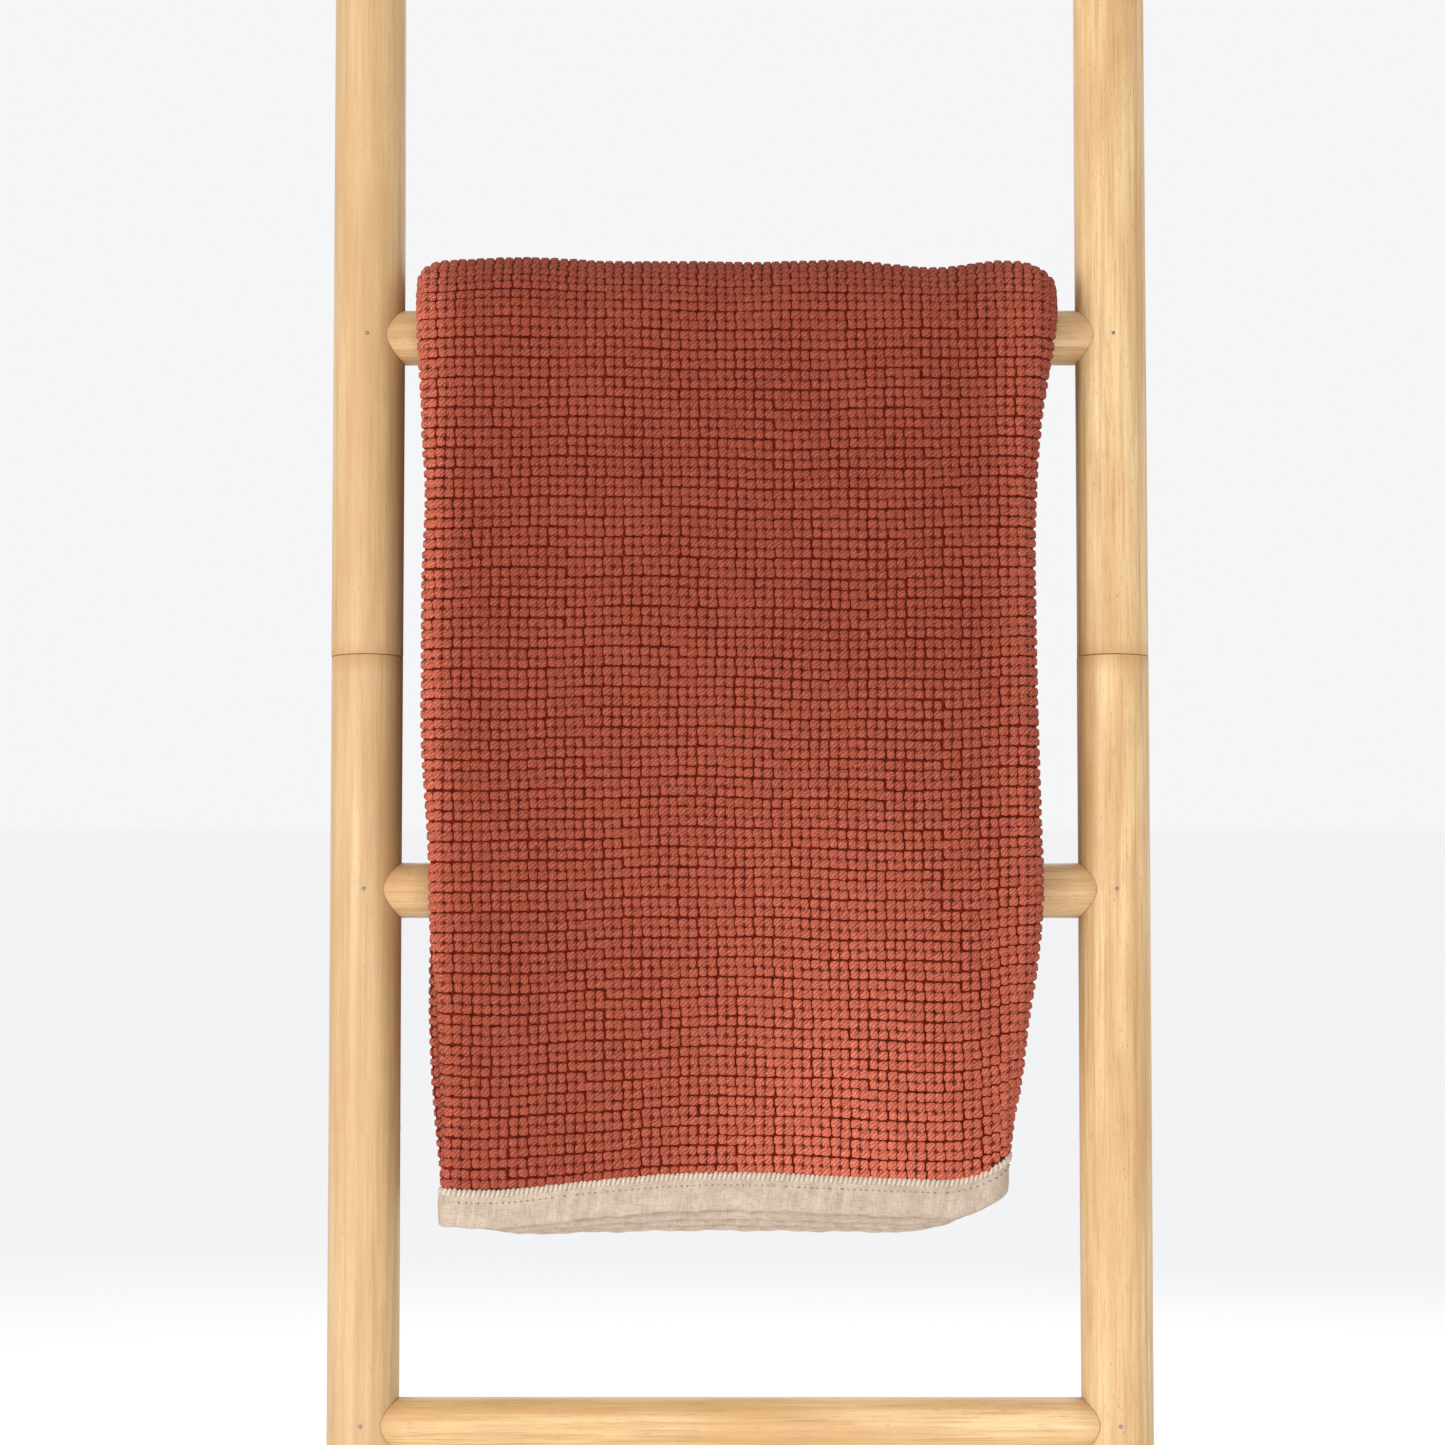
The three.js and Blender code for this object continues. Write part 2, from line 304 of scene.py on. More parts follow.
@dataclass(frozen=True)
class BeechFinish:
    """Plain turned beech: fine flecks along the dowel."""

    name: str = "beech"
    base: Colour = (0.62, 0.43, 0.24)
    fleck: Colour = (0.38, 0.22, 0.10)

    def build(self) -> bpy.types.Material:
        """Makes the material. It reads object coordinates."""
        shader = Shader(self.name)
        flecks = shader.noise(shader.place(), (220, 900, 900), detail=3)
        tone = shader.mix(flecks.over(0.5, 0.72) * 0.5, self.base, self.fleck)
        shader.bump(flecks, 0.0001, 0.4)
        return shader.finish(tone, 0.6 + flecks * 0.15)


@dataclass(frozen=True)
class SteelFinish:
    """Dull steel, turned, with fine scratches and a trace of tarnish."""

    name: str = "steel"
    base: Colour = (0.24, 0.225, 0.205)
    tarnish: Colour = (0.09, 0.065, 0.045)

    def build(self) -> bpy.types.Material:
        """Makes the material. It reads object coordinates."""
        shader = Shader(self.name)
        spots = shader.noise(shader.place(), 900, detail=3)
        tone = shader.mix(spots.over(0.45, 0.75) * 0.6, self.base, self.tarnish)
        return shader.finish(tone, 0.38 + spots * 0.25, Metallic=0.9)


@dataclass(frozen=True)
class YarnFinish:
    """Soft two-ply cotton yarn: its twist as slanted stripes of painted highlight and painted shade, fuzz, a little
    colour change, painted shade at each float's rim and in the hole at its group's middle, and painted light.
    """

    name: str = "cotton_yarn"
    # light is the yarn's pale tone, also the painted highlight on the twist's crests
    light: Colour = (0.395, 0.088, 0.049)
    base: Colour = (0.185, 0.029, 0.014)
    # Painted light: the lighter colours that the yarn is brought to where the painted light is strongest
    faded_light: Colour = (0.83, 0.235, 0.148)
    faded_base: Colour = (0.47, 0.094, 0.050)
    # The colour of the painted shade, also of the random darker tone
    deep: Colour = (0.11, 0.010, 0.004)
    stripes: float = 13.0
    slant: float = 1.1

    def build(self) -> bpy.types.Material:
        """Makes the material.

        It reads UVMap, a place on the float, and the attributes tint, lay (1 for a float across, -1 for one along),
        one for painted light, how much it brightens the yarn, and heart, which says which corner lies at the middle of
        its group of four.
        """
        shader = Shader(self.name)
        along, across = shader.spot()
        lay, tint, fade, heart = (shader.attribute(name, "Fac") for name in ("lay", "tint", "fade", "heart"))
        place = shader.place()
        fuzz = shader.noise(place, 1900, detail=3, rough=0.65)
        cloudy, drift = shader.noise(place, 26), shader.noise(place, 300)
        # The twist's stripes: painted highlight on the crests, painted shade in the grooves
        wave = (along * self.stripes - across * lay * (self.stripes * self.slant) + tint * 6.0 + drift * 9.0).sine()
        # near falls towards the group's middle, where the painted shade of its hole lies
        near = 1.0 - heart * (along - across)
        # edge grows towards the float's rim, where painted shade lies
        edge = ((across - 0.5) ** 2.0) * 4.0 + ((along - 0.5) ** 2.0) * 3.0
        # Painted light: the yarn is brighter where the painted light is strong
        base = shader.mix(fade, self.base, self.faded_base)
        light = shader.mix(fade, self.light, self.faded_light)
        # Painted highlight on the twist's crests, and random fuzz
        tone = shader.mix(wave.over(-0.9, 0.8) * 0.62 + fuzz.over(0.3, 0.7) * 0.36, base, light)
        # Painted shade in the twist's grooves, at the rims and in the hole at the group's middle; the last is a random
        # darker tone
        shades = (
            wave.over(-0.2, -1.0) * (near.over(1.5, 0.3) * 0.75),
            edge.over(0.70, 1.70) * (near.over(0.65, 1.30) * 0.42 + 0.36),
            near.over(0.66, 0.20) * (0.66 - lay * 0.28),
            tint.over(0.0, 1.0) * 0.20,
        )
        for share in shades:
            tone = shader.mix(share, tone, self.deep)
        tone = shader.mix(cloudy.over(0.35, 0.7) * 0.15, tone, self.light)
        shader.bump(wave * 0.6 + fuzz * 0.9, 0.0005, 0.8)
        return shader.finish(
            tone, 0.93, Sheen_Weight=0.14, Sheen_Roughness=0.5, Sheen_Tint=(0.9, 0.5, 0.4), Specular_IOR_Level=0.12
        )


@dataclass(frozen=True)
class GroundFinish:
    """The cloth under the raised yarns: the same cotton, darkened with painted shade, with the crossings of the weave.
    """

    name: str = "cotton_ground"
    # Painted shade: the cotton's colour made dark for the shade between the raised yarns
    base: Colour = (0.125, 0.012, 0.005)
    deep: Colour = (0.050, 0.004, 0.002)

    def build(self) -> bpy.types.Material:
        """Makes the material. It reads the attribute cloth, a place on the flat cloth."""
        shader = Shader(self.name)
        cloth = shader.attribute("cloth")
        threads, fuzz = shader.noise(cloth, (420, 420, 420)), shader.noise(cloth, (1800, 1800, 1800))
        tone = shader.mix(threads.over(0.35, 0.65), self.base, self.deep)
        shader.bump(threads + fuzz * 0.5, 0.0008, 0.8)
        return shader.finish(tone, 0.95, Sheen_Weight=0.03, Specular_IOR_Level=0.05)


@dataclass(frozen=True)
class LinenFinish:
    """Washed natural linen in a fine plain weave, with slubs in both directions and painted shade in its creases and
    along its edges.
    """

    name: str = "linen"
    pale: Colour = (0.53, 0.435, 0.345)
    base: Colour = (0.445, 0.355, 0.280)
    # The colour of the slubs, also of the painted shade in the creases
    slub: Colour = (0.285, 0.210, 0.150)

    def build(self) -> bpy.types.Material:
        """Makes the material. It reads the attributes cloth, a place on the flat cloth, and one for the painted shade
        in its creases and along its edges.
        """
        shader = Shader(self.name)
        cloth = shader.attribute("cloth")
        warp, weft = shader.noise(cloth, (1300, 150, 700)), shader.noise(cloth, (150, 1300, 700))
        tone = shader.mix(shader.noise(cloth, (90, 90, 90)).over(0.3, 0.7), self.base, self.pale)
        # Painted shade in the puckers' creases and along the binding's edges
        tone = shader.mix(shader.attribute("crease", "Fac") * 0.35, tone, self.slub)
        tone = shader.mix(warp.over(0.50, 0.70) * 0.42, tone, self.slub)
        tone = shader.mix(weft.over(0.50, 0.70) * 0.50, tone, self.slub)
        shader.bump(warp + weft, 0.0005, 0.9)
        return shader.finish(tone, 0.9, Sheen_Weight=0.12, Specular_IOR_Level=0.15)


@dataclass(frozen=True)
class ThreadFinish:
    """Undyed sewing thread with its twist, drawn as stripes of painted shade."""

    name: str = "linen_thread"
    pale: Colour = (0.64, 0.55, 0.45)
    shade: Colour = (0.36, 0.28, 0.20)

    def build(self) -> bpy.types.Material:
        """Makes the material. It reads UVMap, a place on the stitch, and the attribute tint."""
        shader = Shader(self.name)
        along, across = shader.spot()
        # Painted shade in the grooves of the twist
        twist = (along * 22.0 + across * 9.0).sine()
        tone = shader.mix(twist.over(-1.0, 1.0) * 0.5 + shader.attribute("tint", "Fac") * 0.35, self.pale, self.shade)
        return shader.finish(tone, 0.85, Sheen_Weight=0.1)


@dataclass(frozen=True)
class FloorFinish:
    """A plain pale matt floor."""

    name: str = "floor"
    base: Colour = (0.87, 0.87, 0.875)
    glow: float = 0.09

    def build(self) -> bpy.types.Material:
        """Makes the material."""
        return Shader(self.name).finish(
            self.base, 0.9, Specular_IOR_Level=0.1, Emission_Color=(0.95, 0.95, 1.0), Emission_Strength=self.glow
        )


# ---- Meshes --------------------------------------------------------------------------------------


def mesh_object(
    name: str, points: Array, faces: Iterable[Sequence[int]], material: bpy.types.Material | None = None,
    attributes: dict[str, Array] | None = None, outward: bool = False,
) -> bpy.types.Object:
    """Makes a smooth object from points and faces.

    Args:
        name: The object's name.
        points: One row of x, y, z for each point.
        faces: The points of each face.
        material: Its material.
        attributes: Numbers or vectors for each point, by name.
        outward: Whether a closed mesh has its faces turned outwards.
    Returns:
        The object, linked to the scene.
    """
    mesh = bpy.data.meshes.new(name)
    mesh.from_pydata([tuple(map(float, point)) for point in points], [], [tuple(face) for face in faces])
    for key, values in (attributes or {}).items():
        kind, slot = ("FLOAT", "value") if values.ndim == 1 else ("FLOAT_VECTOR", "vector")
        mesh.attributes.new(key, kind, "POINT").data.foreach_set(slot, values.astype(np.float32).ravel())
    if outward:
        work = bmesh.new()
        work.from_mesh(mesh)
        bmesh.ops.recalc_face_normals(work, faces=work.faces)
        work.to_mesh(mesh)
        work.free()
    mesh.polygons.foreach_set("use_smooth", [True] * len(mesh.polygons))
    if material is not None:
        mesh.materials.append(material)
    made = bpy.data.objects.new(name, mesh)
    bpy.context.scene.collection.objects.link(made)
    return made


def settled(piece: bpy.types.Object) -> bpy.types.Object:
    """Turns an object's live modifiers into its plain mesh and gives the object back."""
    graph = bpy.context.evaluated_depsgraph_get()
    graph.update()
    mesh = bpy.data.meshes.new_from_object(
        piece.evaluated_get(graph), preserve_all_data_layers=True, depsgraph=graph
    )
    piece.modifiers.clear()
    old, piece.data = piece.data, mesh
    mesh.name = piece.name
    bpy.data.meshes.remove(old)
    return piece


def strip_faces(rows: int, columns: int, loop: bool = False) -> list[Sequence[int]]:
    """The faces of a grid whose points are numbered row by row.

    Args:
        rows: How many rows of points.
        columns: How many points in each.
        loop: Whether the last column joins the first.
    Returns:
        Four point numbers for each face.
    """
    starts = [(r * columns, c, (c + 1) % columns) for r in range(rows - 1) for c in range(columns - (not loop))]
    return [(r + c, r + d, r + columns + d, r + columns + c) for r, c, d in starts]


def closed_faces(rings: int, sides: int) -> list[Sequence[int]]:
    """The faces of a closed turned shape: rings of points, then a point at the first end and one at the last.

    Args:
        rings: How many rings of points.
        sides: How many points in each.
    Returns:
        The point numbers of each face.
    """
    tip, last = rings * sides, (rings - 1) * sides
    faces = strip_faces(rings, sides, loop=True)
    faces += [(tip, (k + 1) % sides, k) for k in range(sides)]
    return faces + [(tip + 1, last + k, last + (k + 1) % sides) for k in range(sides)]


def rides(piece: bpy.types.Object, body: str, nodes: Sequence[str] = ()) -> bpy.types.Object:
    """Says which body and CAD nodes a finished piece goes with.

    Args:
        piece: The piece.
        body: The CAD body that it moves with.
        nodes: The CAD nodes that it stands for.
    Returns:
        The piece.
    """
    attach(piece, body)
    if nodes:
        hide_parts(*nodes)
    log.info("%s: %d faces on %s", piece.name, len(piece.data.polygons), body)
    return piece


def hump(values: Array, centre: float, width: float) -> Array:
    """A smooth bump of height 1 at a centre, and of 0.37 at a width from it."""
    return np.exp(-(((values - centre) / width) ** 2))


def humps(table: Table, values: Array) -> Array:
    """A sum of smooth bumps, from the height, centre and width of each."""
    return sum(height * hump(values, centre, width) for height, centre, width in table)


def ripples(table: Table, first: Array, second: "Array | float") -> Array:
    """A sum of waves over two coordinates, from the height, the rate along each and the phase of each wave."""
    return sum(height * np.sin(a * first + b * second + phase) for height, a, b, phase in table)


def aimed(first: Vector, third: Vector) -> tuple[float, float, float]:
    """The XYZ rotation that turns a pattern's X axis to one direction and its Z axis to another."""
    return tuple(Matrix((first, third.cross(first), third)).transposed().to_euler("XYZ"))


# ---- Repeated pieces by Geometry Nodes -----------------------------------------------------------


@dataclass
class Repeat:
    """A Geometry Nodes tree that sets a pattern piece on every point of a mesh.

    The points carry the attributes turn, the pattern's rotation, and stretch, its size.
    """

    name: str
    seed: int = 1
    turn_jitter: float = 0.0
    size_jitter: float = 0.0
    sockets: dict[str, str] = field(default_factory=dict)

    def _tree(self) -> bpy.types.NodeTree:
        """Builds the tree, with named inputs, and keeps their identifiers."""
        tree = bpy.data.node_groups.new(self.name, "GeometryNodeTree")
        inputs = {
            "Geometry": "Geometry", "Pattern": "Object", "Turn jitter": "Float", "Size jitter": "Float",
            "Seed": "Int", "Material": "Material",
        }
        for name, kind in inputs.items():
            made = tree.interface.new_socket(name, in_out="INPUT", socket_type=f"NodeSocket{kind}")
            self.sockets[name] = made.identifier
        tree.interface.new_socket("Geometry", in_out="OUTPUT", socket_type="NodeSocketGeometry")
        given = add_node(tree, "NodeGroupInput").outputs

        def add(kind: str, inputs: dict[Any, Any], output: "int | str" = 0, **settings: str) -> bpy.types.NodeSocket:
            """One output of a new node."""
            return add_node(tree, kind, settings, inputs).outputs[output]

        def chance(kind: str, slot: int, low: Any, high: Any) -> bpy.types.NodeSocket:
            """A random value for each instance, between two."""
            ends = {slot: low, slot + 1: high, "Seed": given["Seed"]}
            return add("FunctionNodeRandomValue", ends, slot // 2, data_type=kind)

        turn, stretch = (
            add("GeometryNodeInputNamedAttribute", {"Name": name}, data_type="FLOAT_VECTOR")
            for name in ("turn", "stretch")
        )
        low = add("ShaderNodeMath", {0: 1.0, 1: given["Size jitter"]}, operation="SUBTRACT")
        high = add("ShaderNodeMath", {0: 1.0, 1: given["Size jitter"]}, operation="ADD")
        grown = {0: stretch, "Scale": chance("FLOAT", 2, low, high)}
        places = {
            "Points": given["Geometry"], "Rotation": turn,
            "Instance": add("GeometryNodeObjectInfo", {"Object": given["Pattern"]}, "Geometry"),
            "Scale": add("ShaderNodeVectorMath", grown, operation="SCALE"),
        }
        back = add("ShaderNodeMath", {0: given["Turn jitter"], 1: -1.0}, operation="MULTIPLY")
        sway = {
            "Instances": add("GeometryNodeInstanceOnPoints", places),
            "Rotation": chance("FLOAT_VECTOR", 0, back, given["Turn jitter"]),
        }
        dye = {"Geometry": add("GeometryNodeRotateInstances", sway), "Name": "tint"}
        dye["Value"] = chance("FLOAT", 2, 0.0, 1.0)
        dyed = add("GeometryNodeStoreNamedAttribute", dye, data_type="FLOAT", domain="INSTANCE")
        dress = {"Geometry": add("GeometryNodeRealizeInstances", {0: dyed}), "Material": given["Material"]}
        add_node(tree, "NodeGroupOutput", {}, {0: add("GeometryNodeSetMaterial", dress)})
        return tree

    def grow(
        self, name: str, points: tuple[Array, Array, Array], pattern: bpy.types.Object, material: bpy.types.Material,
        marks: dict[str, Array] | None = None,
    ) -> bpy.types.Object:
        """Sets the pattern on every place.

        Args:
            name: The new piece's name.
            points: The places, their XYZ rotations and the sizes along the pattern's own axes.
            pattern: The piece that is repeated. It is 1 m in each direction.
            material: The material of the whole.
            marks: Other numbers for each point that the material reads.
        Returns:
            One plain mesh object.
        """
        places, turns, sizes = points
        piece = mesh_object(name, places, [], attributes={"turn": turns, "stretch": sizes, **(marks or {})})
        modifier = piece.modifiers.new(self.name, "NODES")
        modifier.node_group = self._tree()
        values = {
            "Pattern": pattern, "Turn jitter": self.turn_jitter, "Size jitter": self.size_jitter,
            "Seed": self.seed, "Material": material,
        }
        for key, value in values.items():
            modifier[self.sockets[key]] = value
        piece = settled(piece)
        piece.data.polygons.foreach_set("use_smooth", [True] * len(piece.data.polygons))
        for spare in ("turn", "stretch"):
            if spare in piece.data.attributes:
                piece.data.attributes.remove(piece.data.attributes[spare])
        return piece


def cushion_pattern(name: str, sink: float, square: float, along: int = 4, across: int = 3) -> bpy.types.Object:
    """A domed pad 1 m long, wide and high, such as a float of yarn or a stitch, with a UV map.

    Args:
        name: The object's name.
        sink: How far its rim goes below 0.
        square: How square its outline is: 2 is an oval.
        along: How many faces along it.
        across: How many faces across it.
    Returns:
        The object, kept out of the scene's view.
    """
    points, spots = [], []
    for i in range(along + 1):
        for j in range(across + 1):
            u, v = (math.copysign(abs(t) ** 0.78, t) for t in (2 * i / along - 1, 2 * j / across - 1))
            reach = (abs(u) ** square + abs(v) ** square) ** (1 / square)
            inner = max(abs(u), abs(v))
            shrink = inner / reach if reach > 0 else 1.0
            height = math.sqrt(max(0.0, 1 - (0.86 * inner) ** 2.4)) if inner < 0.999 else 0.0
            points.append((0.5 * u * shrink, 0.5 * v * shrink, height * (1 + sink) - sink))
            spots.append((0.5 + 0.5 * u, 0.5 + 0.5 * v))
    made = mesh_object(name, np.array(points), strip_faces(along + 1, across + 1))
    for polygon in made.data.polygons:
        if polygon.normal.z < 0:
            polygon.flip()
    layer = made.data.uv_layers.new(name="UVMap")
    for loop in made.data.loops:
        layer.data[loop.index].uv = spots[loop.vertex_index]
    bpy.context.scene.collection.objects.unlink(made)
    return made


def turned_pattern(name: str, profile: Table, sides: int) -> bpy.types.Object:
    """A turned piece whose axis is Z.

    Args:
        name: The object's name.
        profile: The radius and height of the points of half its section, from its top down, both ends on the axis.
        sides: How many sides it has.
    Returns:
        The object, kept out of the scene's view.
    """
    rings = profile[1:-1]
    angles = np.linspace(0, 2 * math.pi, sides, endpoint=False)
    points = [(r * math.cos(a), r * math.sin(a), h) for r, h in rings for a in angles]
    points += [(0, 0, profile[0][1]), (0, 0, profile[-1][1])]
    made = mesh_object(name, np.array(points), closed_faces(len(rings), sides), outward=True)
    bpy.context.scene.collection.objects.unlink(made)
    return made


# ---- The ladder ----------------------------------------------------------------------------------


class Side(Enum):
    """The ladder's sides, as the viewer sees them."""

    LEFT = -1
    RIGHT = 1

    @property
    def word(self) -> str:
        """The side's name in lower case."""
        return self.name.lower()


class Length(Enum):
    """The two lengths of each pole."""

    LOWER = "lower"
    UPPER = "upper"


@dataclass
class LadderLayout:
    """Where the leaning ladder's pieces are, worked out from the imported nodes' boxes."""

    rung_forward: float = 2 * MM
    seam_gap: float = 0.3 * MM

    def __post_init__(self) -> None:
        """Reads the boxes of the rungs and the poles."""
        boxes = [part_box(f"rung_{n}") for n in range(1, 5)]
        middles = [(low + high) / 2 for low, high in boxes]
        self.rung_radius = (boxes[0][1].z - boxes[0][0].z) / 2
        rise = middles[-1] - middles[0]
        self.lean = math.atan2(rise.y, rise.z)
        low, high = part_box("pole_right_lower")
        self.pole_radius = (high.x - low.x) / 2
        self.pole_x = (high.x + low.x) / 2
        sine, cosine = math.sin(self.lean), math.cos(self.lean)
        self.rung_heights = tuple((m.z - self.rung_forward * sine) / cosine for m in middles)
        self.foot_y = middles[0].y + self.rung_forward * cosine - self.rung_heights[0] * sine
        self.seam = (high.z - self.pole_radius * sine) / cosine + self.seam_gap / 2
        self.top = (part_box("pole_right_upper")[1].z - self.pole_radius * sine) / cosine

    def lean_back(self, local: Array) -> Array:
        """Takes points from the ladder's own frame (x across, y towards its back, z along it) to the row frame."""
        sine, cosine = math.sin(self.lean), math.cos(self.lean)
        x, y, z = local.T
        return np.stack([x, self.foot_y + y * cosine + z * sine, z * cosine - y * sine], axis=1)

    def rung_axis(self, number: int) -> Vector:
        """A rung's axis as a point of the YZ plane, with x 0."""
        return Vector(self.lean_back(np.array([[0, -self.rung_forward, self.rung_heights[number - 1]]]))[0])


@dataclass
class Pole:
    """One length of bamboo pole, with sanded nodes, softened ends and its own hollow."""

    layout: LadderLayout
    side: Side
    length: Length
    nodes: tuple[float, ...]
    seed: int
    dullness: float
    sides: int = 72
    lumen: float = 7 * MM
    lumen_depth: float = 60 * MM
    lip: float = 0.8 * MM
    bevel: float = 0.45 * MM
    foot_bevel: float = 0.72 * MM
    top_bevel: float = 1.2 * MM
    ring_step: float = 14 * MM
    node_steps: tuple[float, ...] = (0.7, 1.5, 2.6, 4, 6, 9)
    ridge: float = 0.09 * MM
    groove: float = 0.07 * MM
    shaved: float = 0.12 * MM
    worn: float = 0.9 * MM

    def _ends(self) -> tuple[float, float]:
        """Where this length starts and ends, along the pole."""
        layout = self.layout
        if self.length is Length.LOWER:
            return 0.0, layout.seam - layout.seam_gap / 2
        return layout.seam + layout.seam_gap / 2, layout.top

    def _rings(self) -> Table:
        """The profile, from the bottom hollow up the outside to the top hollow.

        Returns:
            The radius and height of its points, which start and end on the axis.
        """
        low, high = self._ends()
        radius, lip = self.layout.pole_radius, self.lip
        under = self.foot_bevel if self.length is Length.LOWER else self.bevel
        over = self.top_bevel if self.length is Length.UPPER else self.bevel

        def end(edge: float, way: int, bevel: float) -> list[tuple[float, float]]:
            """One end's profile, from the axis in its hollow to its outside."""
            deep = edge + way * self.lumen_depth
            return [
                (0.0, deep), (self.lumen, deep), (self.lumen, edge + way * lip), (self.lumen + lip, edge),
                (radius - bevel, edge), (radius - 0.3 * bevel, edge + way * 0.3 * bevel), (radius, edge + way * bevel),
            ]

        heights = set(np.arange(low + 0.01, high - 0.009, self.ring_step).tolist())
        for node in self.nodes:
            heights |= {node + way * step * MM for step in (0, *self.node_steps) for way in (-1, 1)}
        middle = [(radius, h) for h in sorted(heights) if low + 2 * under < h < high - 2 * over]
        return (*end(low, 1, under), *middle, *end(high, -1, over)[::-1])

    def _at_nodes(self, height: Array, offset: float, width: float) -> Array:
        """A bump of height 1 at every node, moved along the pole by an offset."""
        return sum((hump(height, node + offset, width) for node in self.nodes), np.zeros_like(height))

    def build(self, material: bpy.types.Material) -> bpy.types.Object:
        """Makes the length of pole in bamboo."""
        layout, rings, lower = self.layout, self._rings(), self.length is Length.LOWER
        low, high = self._ends()
        angles = np.linspace(0, 2 * math.pi, self.sides, endpoint=False)
        ring, turn = np.meshgrid(np.arange(1, len(rings) - 1), angles, indexing="ij")
        radius, height = (np.array(column)[ring] for column in zip(*rings))
        skin = radius > 0.9 * layout.pole_radius
        phase = self.seed * 1.7
        uneven = ripples(((0.10 * MM, 2, 5, phase), (0.07 * MM, 3, 11, -phase)), turn, height)
        knot = self.ridge * self._at_nodes(height, 0, 1.6 * MM)
        mark = self._at_nodes(height, 0, 3.2 * MM)
        groove = self.groove * self._at_nodes(height, -3.4 * MM, 1.2 * MM)
        radius = radius + skin * (uneven - self.shaved + knot - groove)
        across, depth = radius * np.cos(turn), radius * np.sin(turn)
        if lower:  # the foot is cut level
            height = height + depth * math.tan(layout.lean) * np.clip(1 - height / 0.03, 0, 1)
        # Marks round the nodes, and painted shade inside the hollow
        wear = 0.34 * mark * np.sin(4 * turn + phase) ** 2 * np.sin(9 * turn + 2 * phase) ** 2 + 0.45 * ~skin
        wear = wear + 0.9 * hump(height, high if lower else low, self.worn)
        if not lower:
            wear = wear + 0.5 * hump(height, high, self.worn)
        # Painted shade: each pole's inner face is darkened around every rung's joint
        for rung in layout.rung_heights:
            inner = np.clip(-self.side.value * np.cos(turn), 0, 1)
            wear = wear + 0.35 * inner * hump(height, rung, layout.rung_radius * 1.08)
        middle = self.side.value * layout.pole_x
        points = np.stack([middle + across, depth, height], axis=-1).reshape(-1, 3)
        grain = np.stack([across + self.seed * 0.13, depth, height + self.seed * 0.71], axis=-1).reshape(-1, 3)
        tips = [(middle, 0, rings[0][1]), (middle, 0, rings[-1][1])]
        marks = {
            "grain": np.vstack([grain, grain[:2]]), "wear": np.clip(np.append(wear.ravel(), [0.9, 0.9]), 0, 1),
            "cane": np.full(len(points) + 2, self.dullness),
        }
        points, faces = layout.lean_back(np.vstack([points, tips])), closed_faces(len(rings) - 2, self.sides)
        return mesh_object(
            f"bamboo_pole_{self.side.word}_{self.length.value}", points, faces, material, marks, outward=True
        )


@dataclass
class Rung:
    """A round bamboo rung whose ends are coped to sit against the poles."""

    layout: LadderLayout
    number: int
    sides: int = 64
    clearance: float = 0.3 * MM
    bevel: float = 0.5 * MM
    body_rings: int = 34

    def _reach(self, radius: float, angles: Array) -> Array:
        """How far from the middle the coped end is, at a radius and some angles round the rung."""
        seat = self.layout.pole_radius + self.clearance
        return self.layout.pole_x - np.sqrt(seat**2 - (radius * np.sin(angles) - self.layout.rung_forward) ** 2)

    def build(self, material: bpy.types.Material) -> bpy.types.Object:
        """Makes the rung in bamboo."""
        layout, radius, number = self.layout, self.layout.rung_radius, self.number
        angles = np.linspace(0, 2 * math.pi, self.sides, endpoint=False)
        reach, soft, phase = self._reach(radius, angles), 0.3 * self.bevel, number * 2.1
        inner = [0.25 * radius, 0.6 * radius, 0.85 * radius, radius - self.bevel]
        end = [(np.full(self.sides, r), self._reach(r, angles)) for r in inner]
        end.append((np.full(self.sides, radius - soft), reach - soft))
        rings = [(r, -x) for r, x in end]
        for share in np.linspace(-1, 1, self.body_rings):
            x = share * (reach - self.bevel)
            wobble = ripples(((0.09 * MM, 2, 0, phase), (0.06 * MM, 3, 9, phase)), angles, x)
            rings.append((radius + wobble - 0.08 * MM, x))
        rings += reversed(end)
        points, grain, wear = [], [], []
        for r, x in rings:
            depth, up = r * np.sin(angles) - layout.rung_forward, r * np.cos(angles)
            points.append(np.stack([x, depth, up + layout.rung_heights[number - 1]], axis=1))
            grain.append(np.stack([up + number * 0.31, depth, x + number * 0.9], axis=1))
            gap = np.abs(np.abs(x) - reach)
            # Painted shade: darker towards the coped end, in the crevice where the rung meets the pole
            wear.append(0.8 * hump(gap, 0, 0.9 * MM) + 0.08 * hump(gap, 0, 5 * MM))
        tip = self._reach(0.0, angles)[0]
        tips = [(x, -layout.rung_forward, layout.rung_heights[number - 1]) for x in (-tip, tip)]
        marks = {
            "grain": np.vstack([*grain, grain[0][:1], grain[-1][:1]]),
            "wear": np.clip(np.append(np.concatenate(wear), [0.9, 0.9]), 0, 1),
            "cane": np.zeros(len(rings) * self.sides + 2),
        }
        points, faces = layout.lean_back(np.vstack([*points, tips])), closed_faces(len(rings), self.sides)
        return mesh_object(f"bamboo_rung_{number}", points, faces, material, marks, outward=True)


